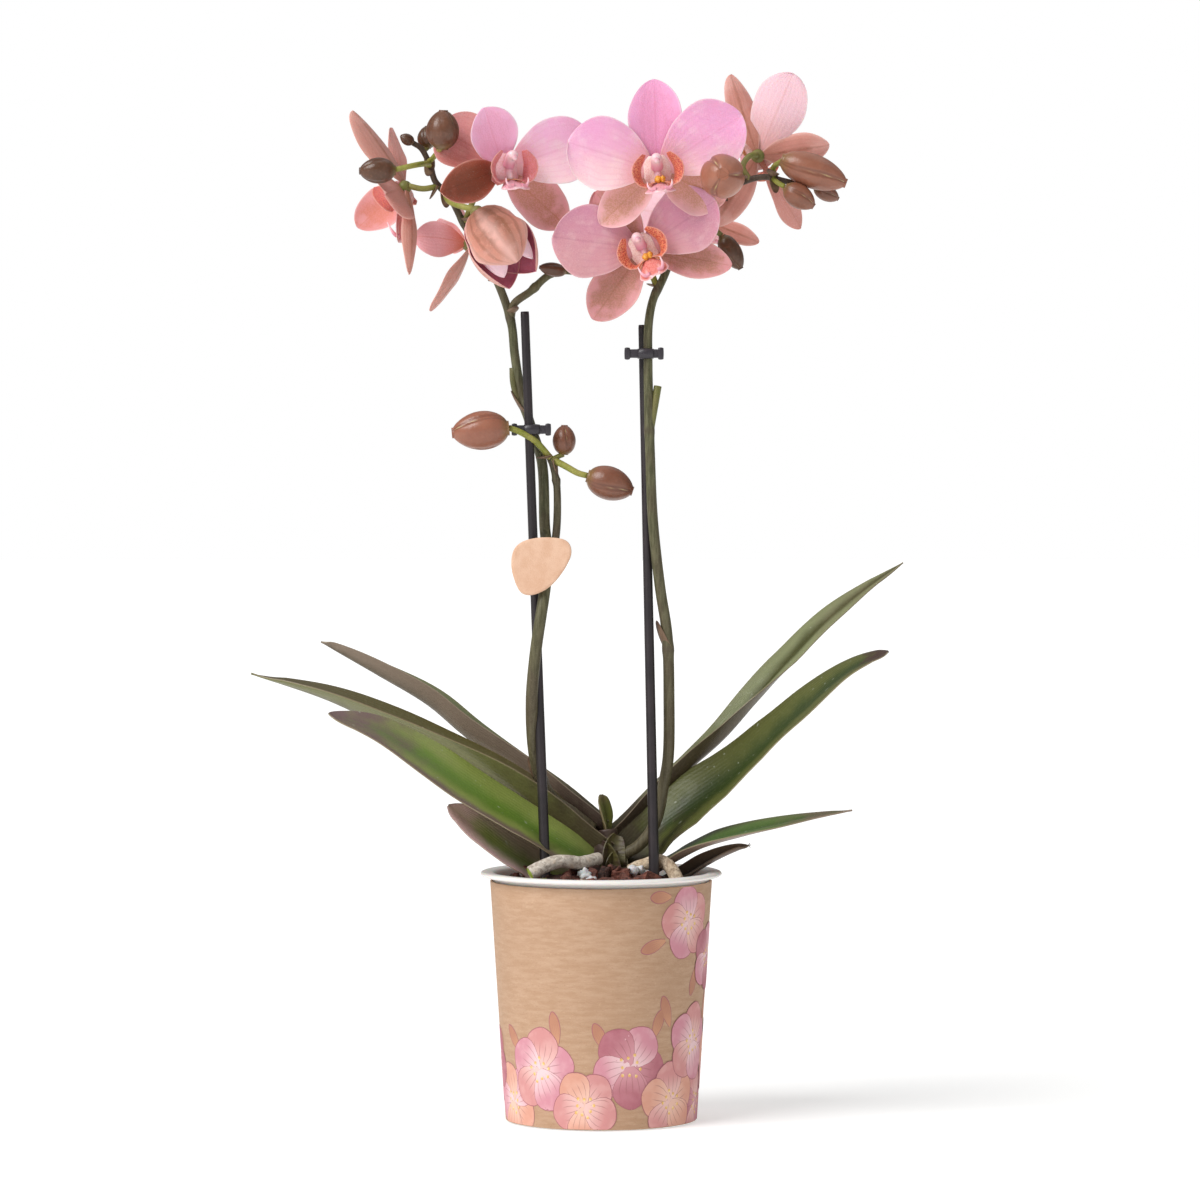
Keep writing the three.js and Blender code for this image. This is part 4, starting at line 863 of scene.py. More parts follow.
def leaf_width(s, leaf):
    sheath = leaf.get("sheath", 0) * max(0, 1 - s / 0.18) ** 2
    if s < leaf["peak"]:
        rise = math.sin(math.pi / 2 * s / leaf["peak"]) ** 1.3
        return sheath + mix(leaf["foot"], 1, rise)
    return max(0, math.cos(math.pi / 2 * (s - leaf["peak"]) / (1 - leaf["peak"]))) ** leaf["taper"]


def leaf_sheet(name, leaf):
    curve = Curve(leaf["spine"])
    front = Vector((0, -1, 0))
    phase = random.Random(name).uniform(0, 6)

    def side_at(s, tangent):
        up = (UP - tangent * UP.dot(tangent)).normalized()
        to_front = front - tangent * front.dot(tangent)
        to_front = (to_front - up * to_front.dot(up)).normalized()
        roll = math.radians(mix(*leaf["roll"], s))
        return (up * math.cos(roll) + to_front * math.sin(roll)).cross(tangent)

    def section_at(s, t):
        half = max(0.35, leaf["width"] / 2 * leaf_width(s, leaf))
        tip = min(1, leaf.get("blunt", 12) * (1 - s))
        shut, opened = leaf.get("opens", (0, 1))
        fold = math.radians(mix(*leaf["fold"], clamp((s - shut) / (opened - shut), 0, 1))) * tip
        bend = math.sqrt(t * t + 0.02) - 0.14
        ripple = 0.35 * abs(t) ** 3 * math.sin(9 * s + phase + 2 * t) * soft_step(s, 0.1, 0.4)
        return half * t * math.cos(fold), half * bend * math.sin(fold) + ripple

    return Sheet(curve.at, side_at, section_at, LEAF_STEPS, LEAF_COLUMNS)


# The withered leaf ends in short shreds that go these ways
WITHERED_LEAF = "leaf_right_4"
SHRED_WAYS = ((2.4, 0.2, 0.4), (1.6, 0, -1.6), (1.2, 0, 1.8))


def make_leaves():
    for name, leaf in LEAVES.items():
        shape = Shape()
        shape.blade(leaf_sheet(name, leaf), LEAF_THICK, edge=0.3)
        if name == WITHERED_LEAF:
            end = Vector(leaf["spine"][-1])
            for way in SHRED_WAYS:
                shred = Curve([end - Vector((2.5, 0, 1)), end, end + Vector(way) * 0.5])
                shape.rod(shred, lambda s, angle: 0.32 * (1 - 0.6 * s), 4, 5)
        look = leaf_look(name, *LEAF_TINTS[name], **LEAF_TRAITS[name])
        shape.build(name + "_fine", [look], [name])


# Blooms: five tepals round a centre, with a lip and a column in front
TEPAL_STEPS = 26
TEPAL_COLUMNS = 18
WAVE = 0.022
TONE_REACH = 26
# Each kind of tepal: how late it is widest, how blunt it is and how far in front it starts
TEPAL_KINDS = {"petal": (1.4, 0.52, 0.5), "sepal": (1.2, 0.56, -0.7)}
STANDARD_TEPALS = {
    "dorsal": dict(kind="sepal", angle=90, length=33, width=20, sweep=(0, 12), cup=22),
    "left_petal": dict(kind="petal", angle=158, length=34, width=27, sweep=(6, 6), cup=14),
    "right_petal": dict(kind="petal", angle=22, length=34, width=27, sweep=(6, 6), cup=14),
    "left_sepal": dict(kind="sepal", angle=222, length=31, width=17, sweep=(-4, 8), cup=22),
    "right_sepal": dict(kind="sepal", angle=318, length=31, width=17, sweep=(-4, 8), cup=22),
}
BLOOMS = [
    dict(name="bloom_a", at=(20.5, -24, 352.4), turn=2, lift=-2, roll=7, look="pink", tepals=dict(
        dorsal=dict(angle=85, length=33.2, width=21, sweep=(4, -4), look="dorsal"),
        left_petal=dict(angle=156, length=34.5, width=28),
        right_petal=dict(angle=26, length=37, width=28),
        left_sepal=dict(angle=217, length=29, width=16, sweep=(-14, -4)),
        right_sepal=dict(angle=331, length=28, width=22, sweep=(-10, -6)))),
    # Bloom B takes darker copies of the pink colours: painted shade from bloom A above it
    dict(name="bloom_b", at=(15.4, -14, 324), turn=-3, lift=0, roll=27, look="pink_painted_shade",
         lip=dict(drop=11.5, fire=1.0, warm=0.75), tepals=dict(
        dorsal=dict(angle=103, length=28, width=18, sweep=(-4, -12)),
        left_petal=dict(angle=146, length=34.5, width=28, sweep=(14, 20)),
        right_petal=dict(angle=6, length=32.5, width=26, sweep=(10, 6)),
        left_sepal=dict(angle=208, length=32, width=19),
        right_sepal=dict(angle=322, length=33.5, width=15))),
    dict(name="bloom_c", at=(-35.4, -16, 353.6), turn=27, lift=0, roll=2, look="pink",
         lip=dict(callus=False, fire=0.15, warm=0.1), tepals=dict(
        # Painted light: a lighter copy of the dorsal colours for this shaded sepal
        dorsal=dict(angle=112, length=24, width=21, sweep=(4, 12), look="dorsal_painted_light"),
        # Painted shade: darker salmon colours for this petal, which faces away from the light
        left_petal=dict(angle=143, length=29, width=24, sweep=(-22, -34), late=1.8, look="salmon_painted_shade"),
        # Painted light: a lighter copy of the pink colours for this petal, which turns away from the light
        right_petal=dict(angle=18, length=34, width=26, sweep=(16, 20), look="pink_painted_light"),
        # Painted shade: the cupped inside of this sepal takes the darker colours
        left_sepal=dict(angle=196, length=35, width=17, sweep=(10, 30), cup=40, look="dark"),
        right_sepal=dict(angle=317, length=32, width=20, sweep=(0, 10)))),
    dict(name="bloom_d", at=(-73, 0, 347.1), turn=-122, lift=-37, roll=0, look="salmon",
         lip=dict(forward=14, drop=15, fire=0.5, warm=0.6), tepals=dict(
             dorsal=dict(angle=85, length=36, width=19, sweep=(-4, 4), cup=30),
             left_petal=dict(angle=125, length=38, width=8.5, sweep=(0, 4)),
             right_petal=dict(angle=-15, length=18, width=26, sweep=(-10, 2)),
             left_sepal=dict(angle=150, length=33, width=16, sweep=(58, 92), look="rose"),
             right_sepal=dict(angle=293, length=38, width=8, sweep=(6, 30), cup=34))),
    dict(name="bloom_e", at=(-49.9, 18, 326.5), turn=-100, lift=0, roll=0, look="salmon", lip=None,
         tepals=dict(
        dorsal=dict(angle=88, length=16, width=11, sweep=(0, 30), look="rose"),
        left_petal=dict(angle=150, length=19, width=15, sweep=(40, 70), look="rose"),
        right_petal=dict(angle=20, length=21, width=15, sweep=(50, 84), look="rose"),
        left_sepal=dict(angle=238, length=25, width=13, sweep=(20, 40)),
        right_sepal=dict(angle=290, length=30, width=13, sweep=(14, 42)))),
    dict(name="bloom_f", at=(-45.6, -15, 337.2), turn=60, lift=-50, roll=60, look="gold", lip=None,
         tepals=dict(
        dorsal=dict(angle=90, length=35, width=29, sweep=(30, 116), cup=66),
        left_petal=dict(angle=162, length=31, width=25, sweep=(40, 118), cup=60, look="pale"),
        right_petal=dict(angle=18, length=31, width=25, sweep=(40, 118), cup=60, look="pale"),
        left_sepal=dict(angle=234, length=35, width=29, sweep=(30, 116), cup=66),
        right_sepal=dict(angle=306, length=35, width=29, sweep=(30, 116), cup=66))),
    dict(name="bloom_g", at=(58.2, 0, 358.8), turn=172, lift=4, roll=82, look="pale",
         tepals=dict(
             dorsal=dict(angle=90, length=27, width=13, sweep=(8, 16)),
             left_petal=dict(angle=159, length=32, width=9, sweep=(8, 20), twist=-40, late=2, look="salmon"),
             right_petal=dict(angle=31, length=33.2, width=21, sweep=(4, 10)),
             left_sepal=dict(angle=221, length=31, width=14, sweep=(0, 10)),
             right_sepal=dict(angle=348, length=33, width=11, sweep=(8, 20), twist=30))),
    dict(name="bloom_h", at=(38.5, 24, 336.1), turn=168, lift=-4, roll=-10, look="pale",
         tepals=dict(
             dorsal=dict(angle=90, length=24, width=16),
             left_petal=dict(angle=170, length=12, width=11),
             right_petal=dict(angle=20, length=28, width=22),
             left_sepal=dict(angle=212, length=23, width=8),
             right_sepal=dict(angle=300, length=17, width=12))),
]


class BloomFrame:
    """A bloom's centre and the ways to its right, its top and its front."""

    def __init__(self, bloom):
        turn, lift, roll = (math.radians(bloom[key]) for key in ("turn", "lift", "roll"))
        flat = Vector((math.sin(turn), -math.cos(turn), 0))
        right = Vector((math.cos(turn), math.sin(turn), 0))
        self.centre = Vector(bloom["at"])
        self.front = flat * math.cos(lift) + UP * math.sin(lift)
        up = self.front.cross(right)
        self.right = right * math.cos(roll) + up * math.sin(roll)
        self.up = up * math.cos(roll) - right * math.sin(roll)

    def place(self, p):
        return self.centre + self.right * p[0] + self.up * p[1] + self.front * p[2]

    def curve(self, points):
        return Curve([self.place(p) for p in points])


def tepal_sheet(bloom_frame, tepal, seed):
    angle = math.radians(tepal["angle"])
    outward = bloom_frame.right * math.cos(angle) + bloom_frame.up * math.sin(angle)
    side = bloom_frame.front.cross(outward)
    low, high = (math.radians(degrees) for degrees in tepal["sweep"])
    late, blunt, layer = TEPAL_KINDS[tepal["kind"]]
    late = tepal.get("late", late)
    start = bloom_frame.centre + outward * CLAW + bloom_frame.front * layer
    reach = tepal["length"] - CLAW
    twist = math.radians(tepal.get("twist", 0))
    ruffle = 0.9 if tepal["kind"] == "petal" else 0.5
    phase = random.Random(seed).uniform(0, 6)

    def curve_at(s):
        place = start.copy()
        parts = 12
        for k in range(parts):
            sweep = mix(low, high, s * (k + 0.5) / parts)
            place += outward * (reach * s * math.cos(sweep) / parts)
            place += bloom_frame.front * (reach * s * math.sin(sweep) / parts)
        return place

    def section_at(s, t):
        bare = math.sin(math.pi * clamp(s, 0, 0.9999) ** late) ** blunt
        half = max(1.1 if s < 0.1 else 0.25, tepal["width"] / 2 * bare)
        half *= 1 - WAVE * (1 + math.sin(11 * s + phase + 2 * t)) * soft_step(s, 0.2, 0.5)
        cup = math.radians(tepal["cup"]) * min(1, s * 3) or 1e-3
        lift = half / cup * (1 - math.cos(cup * t))
        lift -= 0.3 * bell(t, 0.12) * soft_step(s, 0.05, 0.3) * (1 - s)
        lift += ruffle * t * t * math.sin(8 * s + phase + 1.3 * t) * soft_step(s, 0.15, 0.5)
        return half / cup * math.sin(cup * t), lift

    def side_at(s, tangent):
        return Matrix.Rotation(twist * s, 3, tangent) @ side

    return Sheet(curve_at, side_at, section_at, TEPAL_STEPS, TEPAL_COLUMNS)


def egg_swell(s):
    return math.sin(math.pi * clamp(s, 0.03, 0.97) ** 0.85) ** 0.52


def make_tepals(bloom):
    bloom_frame = BloomFrame(bloom)
    shape = Shape()
    looks = [STEM_LOOKS[0]]

    def tone(place):
        return clamp((place.z - bloom_frame.centre.z) / TONE_REACH, -1, 1)

    for name, own in bloom["tepals"].items():
        tepal = {**STANDARD_TEPALS[name], **own}
        store = PETAL_LOOKS if tepal["kind"] == "petal" else SEPAL_LOOKS
        looks.append(store[tepal.get("look", bloom["look"])])
        sheet = tepal_sheet(bloom_frame, tepal, bloom["name"] + name)
        shape.blade(sheet, TEPAL_THICK, len(looks) - 1, tone=tone)
    line = bloom_frame.curve([(0, 0, -RECEPTACLE), (0, 0, 0), (0, 0, 2.4)])
    shape.rod(line, lambda s, angle: max(RECEPTACLE * egg_swell(s), 0.5), 12, 16,
              marks_at=lambda s, angle, place: (s, 0.0, 1.0, 0.5))
    shape.build(bloom["name"] + "_fine", looks, [bloom["name"]])


LOBE, MIDDLE, COLUMN, CALLUS, THREAD, THROAT = range(6)
LEVEL = [(1, 0, 0), (1, 0, 0)]


def make_lip(bloom):
    bloom_frame = BloomFrame(bloom)
    lip = bloom.get("lip", {})
    forward, drop = lip.get("forward", 12), lip.get("drop", 8)
    fire, warm = lip.get("fire", 0.9), lip.get("warm", 0.2)
    shape = Shape()

    def lobe(kind, spine, sides, half_at, cup, tone, steps, columns, thick=LIP_THICK):
        """A blade along a spine, cupped across it by cup degrees."""
        curve = bloom_frame.curve(spine)
        first, last = (bloom_frame.place(p) - bloom_frame.centre for p in sides)
        cup = math.radians(cup)

        def section_at(s, t):
            half = half_at(s)
            return half / cup * math.sin(cup * t), half / cup * (1 - math.cos(cup * t))

        sheet = Sheet(curve.at, lambda s, tangent: first.lerp(last, s), section_at, steps, columns)
        shape.blade(sheet, thick, kind, tone=tone)

    def side_half(s):
        return max(0.4, 3.4 * math.sin(math.pi * (0.12 + 0.83 * s)) ** 0.7)

    def throat_half(s):
        return max(0.4, 5.6 * math.sin(math.pi * (0.1 + 0.8 * s)) ** 0.6)

    def middle_half(s):
        return max(0.3, 1.6 + 4.6 * math.sin(math.pi * clamp(s, 0, 0.999) ** 1.7) ** 0.8)

    def head_radius(s, angle):
        return mix(2.2, 2, s) * math.sqrt(max(0.04, 1 - max(0, s - 0.72) ** 2 / 0.0784 * 0.96))

    for hand in (-1, 1):
        spine = [(hand * 0.5, -4.4, 3.4), (hand * 5.2, -4.8, 4.6), (hand * 7.2, 0.6, 6.4),
                 (hand * 4.4, 6, 7.6)]
        sides = [(hand * 0.2, 0.2, 1), (hand * 0.8, 0.2, 0.7)]
        lobe(LOBE, spine, sides, side_half, hand * 30, fire, 16, 12)
    spine = [(0, 5.2, 3.4), (0, 1, 2.5), (0, -3.4, 2.7), (0, -5.4, 4.4)]
    lobe(THROAT, spine, LEVEL, throat_half, -34, fire, 14, 14, thick=0.4)
    spine = [(0, -3.4, 3.4), (0, -5.2, forward * 0.45), (0, -drop * 0.8, forward * 0.8), (0, -drop, forward)]
    lobe(MIDDLE, spine, LEVEL, middle_half, -38, warm, 20, 14)
    head = bloom_frame.curve([(0, 0.6, 3), (0, 2.6, 4.6), (0, 4.2, 6.6), (0, 3.6, 8.8)])
    foot = bloom_frame.curve([(0, 1.4, 3.9), (0, -1.6, 3.4), (0, -4.4, 3.9)])
    shape.rod(head, head_radius, 16, 14, COLUMN)
    shape.rod(foot, lambda s, angle: 1.3, 6, 10, COLUMN)
    shape.lump(bloom_frame.place((0, 3.4, 8.4)), (1.2, 1.2, 1.2), COLUMN)
    if lip.get("callus", True):
        for hand in (-1, 1):
            spot = bloom_frame.place((hand * 0.9 + 0.6, -3.4, 5.6))
            shape.lump(spot, (1.05, 1.05, 1.3), CALLUS, 0.5, seed=hand + 3)
    for hand in (-1, 1):
        horn = bloom_frame.curve([
            (hand * 1.6, -drop * 0.88, forward * 0.86), (hand * 3.4, -drop * 0.86, forward * 0.86),
            (hand * 4.4, -drop * 0.7, forward * 0.84), (hand * 4.5, -drop * 0.5, forward * 0.82)])
        shape.rod(horn, lambda s, angle: mix(0.95, 0.15, s), 14, 10, THREAD)
    shape.build(bloom["name"] + "_lip_fine", LIP_LOOKS, [bloom["name"] + "_lip"])


def make_blooms():
    for bloom in BLOOMS:
        make_tepals(bloom)
        if bloom.get("lip", {}) is not None:
            make_lip(bloom)


# Stakes, clips and tag
STAKES = {
    "stake_left": (Vector((-19.6, -15, 66)), Vector((-28.3, -4, 301))),
    "stake_right": (Vector((20.2, -15.5, 66)), Vector((15.4, -2, 296.1))),
}
CLIPS = [
    dict(name="clip_left", stake="stake_left", z=257.3, left=-33.2, right=-18.5, back=2.2, aside=0.2),
    dict(name="clip_right", stake="stake_right", z=285.4, left=8.6, right=23.2, back=-2.2, aside=0.6),
]
CLIP_FRONT = 3.6
TAG_OUTLINE = [(-28.5, 216.2), (-20.7, 217.6), (-12.6, 216.2), (-10.9, 212.5), (-13, 206.6), (-19.6, 198.8),
               (-26.3, 196.2), (-29.6, 197.3), (-32.5, 203.6), (-33.1, 209.1), (-31.8, 213.6)]
TAG_FRONT = -17.6
TAG_THICK = 0.9
TAG_ARM_HEIGHT = 207
# The tag's rounded edge: how far behind its front and how far inside its outline each ring is
TAG_EDGE = ((0.0, 0.35), (0.0, 0.06), (0.18, 0.0), (0.72, 0.0), (TAG_THICK, 0.06), (TAG_THICK, 0.35))


def stake_at(name, z):
    low, high = STAKES[name]
    return low.lerp(high, (z - low.z) / (high.z - low.z))


def make_stakes():
    for name, (low, high) in STAKES.items():
        shape = Shape()
        shape.rod(Curve([low, low.lerp(high, 0.5), high]),
                  lambda s, angle: (STAKE_RADIUS - 0.35 * s) * (1 if s < 0.998 else 0.93), 200, 24)
        shape.build(name + "_fine", [STAKE_LOOK], [name])


def make_clips():
    for clip in CLIPS:
        shape = Shape()
        left, right, z = clip["left"], clip["right"], clip["z"]
        middle = (left + right) / 2
        depth = stake_at(clip["stake"], z).y + clip["back"]
        front = depth - CLIP_FRONT
        shape.block((6.8, 10.8, 4.2), (middle + clip["aside"], depth, z), STILL, 0, 8, round_off=0.3)
        shape.block((right - left - 1, 1.5, 3.3), (middle, front, z), STILL, 0, 4, round_off=0.12)
        for x in (left + 1.1, right - 1.1):
            shape.block((2.2, 2.4, 4.6), (x, front, z), STILL, 0, 6, round_off=0.24)
        shape.build(clip["name"] + "_fine", [CLIP_LOOK], [clip["name"]])


def closed_outline(corners, parts):
    """A smooth closed outline through corners, as points in the plane."""
    count = len(corners)
    flat = [Vector((x, z, 0)) for x, z in corners]
    out = []
    for k in range(count):
        out += Curve.span([flat[(k + step) % count] for step in (-1, 0, 1, 2)], parts)
    return [(p.x, p.y) for p in out]


def make_tag():
    shape = Shape()
    outline = closed_outline(TAG_OUTLINE, 8)
    middle = Vector((sum(x for x, z in outline) / len(outline), sum(z for x, z in outline) / len(outline)))
    rings = []
    for depth, inset in TAG_EDGE:
        ring = []
        for x, z in outline:
            inward = (middle - Vector((x, z))).normalized() * inset * 3
            ring.append(shape.point((x + inward.x, TAG_FRONT + depth, z + inward.y), depth / TAG_THICK))
        rings.append(ring)
    shape.skin(rings)
    shape.face(rings[0][::-1], 0, False)
    shape.face(rings[-1], 0, False)
    stake = stake_at("stake_left", TAG_ARM_HEIGHT)
    middle_y = TAG_FRONT + TAG_THICK / 2
    reach = stake.y + 3.2 - middle_y
    place = (stake.x - 0.6, middle_y + reach / 2, TAG_ARM_HEIGHT)
    shape.block((5.6, reach, 3), place, STILL, 0, 6, round_off=0.16)
    shape.build("tag_fine", [tag_look()], ["tag"])


# Flower stems: the main stem, its twigs and the scales at their feet
LEFT_SPIKE = [
    (-3, 6, 108), (-10.9, 5, 114.5), (-17.5, 4, 119), (-21.6, 0.5, 125.5), (-24.6, -6, 136.1),
    (-25.7, -13.2, 156.2), (-24.2, -15.4, 174.9), (-22.2, -15, 188.6), (-20.8, -13, 197.9),
    (-19.7, -7, 210.4), (-20.9, -1, 220.7), (-22, 0, 245.2), (-25.4, -1.5, 256.4), (-29.8, 1, 271.3),
    (-32, 0, 284.6),
    (-33.5, 0, 297.6), (-38.7, 1, 312.5), (-45.8, 3, 324.8), (-51, 3, 333.7), (-56.1, 2, 343.3),
    (-61.6, 0, 349.5), (-63.5, -1, 355.4), (-66.8, -2, 361.6), (-69.7, -3, 363.4),
]
RIGHT_SPIKE = [
    (8.5, 0, 99), (14.5, -2, 103), (20.1, -3.5, 111), (23.4, -4.5, 126.3), (24.9, -5, 135.3),
    (25.2, -6, 157.6), (24.5, -7, 181.1), (21.9, -8.4, 198.6), (19.2, -10.2, 223.4), (18.1, -9.2, 249.4),
    (17.4, -7, 280.1), (17.7, -6, 297.5), (19.6, -4, 306.4), (22.6, -2, 312.4), (29.4, 4, 327.8),
    (38.7, 4, 340.8), (53.3, -6, 349.2), (60.9, -9, 350.6), (67.6, -10, 349.1), (72.7, -10, 348),
    (78.3, -8.5, 347.4),
]


def twig(spine, wide, narrow, green=1.0, dark=0.0, scale=True, swells=()):
    return dict(spine=spine, wide=wide, narrow=narrow, green=green, dark=dark, scale=scale, swells=swells)


LEFT_TWIGS = [
    twig([(-20, -6, 208), (-17, -2.4, 216.5), (-16.4, -1, 236), (-17.2, -1.8, 241), (-18.8, -3, 247)],
         1.5, 1.2, green=0.0, dark=0.4, swells=(0.78, 0.99)),
    twig([(-18.6, -3, 246.5), (-24.5, -7, 253.1), (-30, -9, 256.4), (-34.1, -10, 258)], 1.25, 1.1),
    twig([(-18.4, -3, 246.5), (-12.6, -5, 243.4), (-8.6, -6, 241.2), (-5, -6, 240.2)], 1.25, 1.1),
    twig([(-18.6, -3, 246), (-15.5, -2, 247.5), (-14, -1.4, 248)], 1, 0.9, green=0.6),
    twig([(-33.5, 0, 299), (-32.3, -1.5, 303.9), (-26, -2, 308.7), (-20.8, -2.4, 313.5), (-16.7, -2, 316),
          (-10.8, -1, 316), (-4.6, 1, 314.9)], 1.5, 1.2, green=0.15, dark=0.35, swells=(0.4, 0.62, 0.9)),
    twig([(-51, 3, 333.7), (-46, -2, 345), (-40, -9, 352.5), (-37, -13, 353.6)], 1.1, 1.1, green=0.8),
    twig([(-60, 0.5, 347.8), (-66, -1, 346.6), (-71.6, -0.8, 347.7)], 1.1, 1.1, green=0.7),
    twig([(-38.7, 1, 312.5), (-42, 8, 319), (-45.6, 15, 325), (-46.9, 17.6, 326.4)], 1.1, 1.1),
    twig([(-58, 1.2, 345.4), (-55.8, -8, 341.5), (-50, -13, 339.2), (-46.6, -14.2, 338.6)], 1.2, 1.15),
    twig([(-63.3, -1, 354.6), (-64.6, -10, 355.4), (-69, -17.6, 354.4), (-76, -19.4, 352.7)], 1.1, 1),
    twig([(-64, -1.2, 356.6), (-62, -10, 357.6), (-58.8, -21.4, 360.8)], 1, 1),
    twig([(-66, -1.8, 360.4), (-65, 0.5, 361.2), (-64.4, 1.6, 361.9)], 0.8, 0.8, green=0.4, scale=False),
    twig([(-27.4, 0, 262.4), (-31, 0.4, 268.6), (-32.6, 0.6, 275), (-32.7, 0.8, 280.2)], 1.1, 1.4,
         green=0.2, dark=0.2, scale=False),
]
RIGHT_TWIGS = [
    twig([(33, 4, 333.5), (28, -4, 346), (22.5, -14, 352.5), (20.6, -21, 352)], 1.2, 1.1),
    twig([(21, -3, 309.5), (18.4, 0, 316.5), (16.8, -6, 323.4), (15.7, -11, 323.9)], 1.2, 1.1),
    twig([(55, -7, 349.6), (52.4, -6, 354.6), (55, -5, 358.6), (57.8, -3.2, 359)], 1.1, 1.1, green=0.5),
    twig([(34, 4, 335), (37, 12, 337.6), (38.2, 21, 336.3)], 1.1, 1.1),
    twig([(43, 1, 344), (48, -8, 347.5), (50, -19, 349.4), (48, -28, 349.8), (44.2, -32.2, 349.3)], 1.3, 1.2,
         green=0.7),
    twig([(64, -9.7, 350.3), (63.6, -11, 354), (66.8, -13, 356.4)], 1, 1),
    twig([(63.5, -9.6, 350), (65, -13, 348.4), (67.8, -15, 346.6)], 1, 0.9),
    twig([(31, 4, 330), (37, 8, 331.6), (43, 10, 331.2), (45, 10, 329.6)], 1.1, 1, green=0.4),
    twig([(17.8, -8.6, 255), (18.9, -8.2, 261.5), (20, -7.6, 267.6), (21, -7, 273.4)], 1.5, 1.45,
         green=0.35, scale=False),
]
SPIKES = {
    "spike_left": dict(
        main=LEFT_SPIKE, wide=2.3, narrow=1, twigs=LEFT_TWIGS, dark_from=338,
        swells=(127, 210, 266, 299, 334, 346, 355),
        bracts=[
            dict(at=(-29.2, 0.2, 261.6), along=(-0.3, 0, 1), lean=(-1, 0, 0.1), length=10.5, width=6, foot=2),
            dict(at=(-24.9, -1.5, 127), along=(-0.1, -0.2, 1), lean=(-0.6, -0.8, 0), length=9, width=5,
                 foot=1.6),
        ]),
    "spike_right": dict(
        main=RIGHT_SPIKE, wide=2.15, narrow=1, twigs=RIGHT_TWIGS, dark_from=336,
        swells=(176, 257, 309, 330, 341),
        bracts=[
            dict(at=(22.8, -7.4, 175.6), along=(-0.1, 0, 1), lean=(-0.9, -0.5, 0), length=11, width=5.4,
                 foot=1.7),
        ]),
}
STEM, SCALE = range(2)


def bract_sheet(bract):
    along = Vector(bract["along"]).normalized()
    lean = Vector(bract["lean"]).normalized()
    start = Vector(bract["at"]) - lean * bract["foot"]
    middle = start + along * (bract["length"] * 0.5) + lean * (bract["foot"] + 0.7)
    end = start + along * bract["length"] + lean * (bract["foot"] + 1.3)
    side = along.cross(lean)

    def curve_at(s):
        return start * (1 - s) ** 2 + middle * (2 * s * (1 - s)) + end * s ** 2

    def section_at(s, t):
        half = max(0.2, bract["width"] / 2 * math.sqrt(max(0, 1 - s ** 2)))
        return half * t, 1.2 * t * t * (1 - s)

    return Sheet(curve_at, lambda s, tangent: side, section_at, 10, 8)


def foot_scale(shape, curve, radius):
    """A small pointed scale that hugs a twig at its foot."""
    along = curve.tangent(0.04)
    lean = (-UP - along * -UP.dot(along)).normalized()
    bract = dict(at=curve.at(0.04) + lean * radius, along=along + lean * 0.4, lean=lean, length=4.6, width=4,
                 foot=radius * 0.8)
    shape.blade(bract_sheet(bract), 0.5, SCALE)


def stem_rod(shape, curve, stem, nodes, swell, ring, steps, sides, dark_at, green):
    """A stem that swells and darkens at its nodes; swell and ring are each a width and a share."""
    def radius_at(s, angle):
        bulge = min(1, sum(bell(s - node, swell[0]) for node in nodes))
        return mix(stem["wide"], stem["narrow"], s * s) * (1 + swell[1] * bulge)

    def marks_at(s, angle, place):
        mark = max((bell(s - node, ring[0]) for node in nodes), default=0)
        return s, angle, 1 - max(dark_at(place), ring[1] * mark), green

    shape.rod(curve, radius_at, steps, sides, STEM, marks_at)


def make_spikes():
    for name, spike in SPIKES.items():
        shape = Shape()
        main = Curve(spike["main"])
        nodes = [main.where(z) for z in spike["swells"]]
        dusk = spike["dark_from"]
        stem_rod(shape, main, spike, nodes, (0.007, 0.13), (0.004, 0.5), 260, 16,
                 lambda place: 0.85 * soft_step(place.z, dusk - 14, dusk + 6), 0.0)
        for item in spike["twigs"]:
            curve = Curve(item["spine"])
            steps = max(10, round(curve.length / 1.1))
            stem_rod(shape, curve, item, item["swells"], (0.03, 0.28), (0.02, 0.6), steps, 12,
                     lambda place: item["dark"], item["green"])
            if item["scale"]:
                foot_scale(shape, curve, item["wide"])
        for bract in spike["bracts"]:
            shape.blade(bract_sheet(bract), 0.7, SCALE)
        shape.build(name + "_fine", STEM_LOOKS, [name])


# Buds: three folded sepals that meet in seams
BUDS = {
    "bud_left_1": ((-76.2, -19, 352.6), (-88.8, -21, 352.2), 4.9, 0.05),
    "bud_left_2": ((-58.4, -22, 360.6), (-57.8, -23, 374.4), 6.2, 0.2),
    "bud_left_3": ((-64.6, 1.8, 362.2), (-64.5, 3, 370), 3.8, 0.0),
    "bud_left_4": ((-70, -3.2, 363.7), (-74.2, -4.6, 366), 2.2, 0.0),
    "bud_right_1": ((44.2, -32, 349.2), (44.1, -49.8, 349.6), 8.3, 1.0),
    "bud_right_2": ((66.8, -13.4, 356.6), (90.4, -14, 347.9), 6.5, 0.8),
    "bud_right_3": ((68.2, -15.2, 346.4), (78.4, -16, 339.3), 4.6, 0.6),
    "bud_right_4": ((79.4, -8.3, 346.8), (87.8, -6, 342.6), 3.2, 0.4),
    "bud_right_5": ((45.3, 10, 329.1), (52.2, 10, 317.2), 4.1, 0.0),
    "bud_low_1": ((-34.6, -10.1, 257.8), (-55.2, -11, 256), 7.4, 0.9),
    "bud_low_2": ((-13.8, -1.2, 248.5), (-13.6, -1, 259), 4.4, 0.4),
    # bud_low_3 has a low warm share: its darker colour is partly its own and partly painted shade on the side
    # it shows
    "bud_low_3": ((-4.6, -6, 240), (11.8, -6, 234.4), 6.4, 0.5),
    "bud_side": ((-13.5, -4.3, 315.8), (-22.8, -7, 317.4), 2.7, 0.1),
}
SEAMS = 3
BUD_SEAT = 0.6


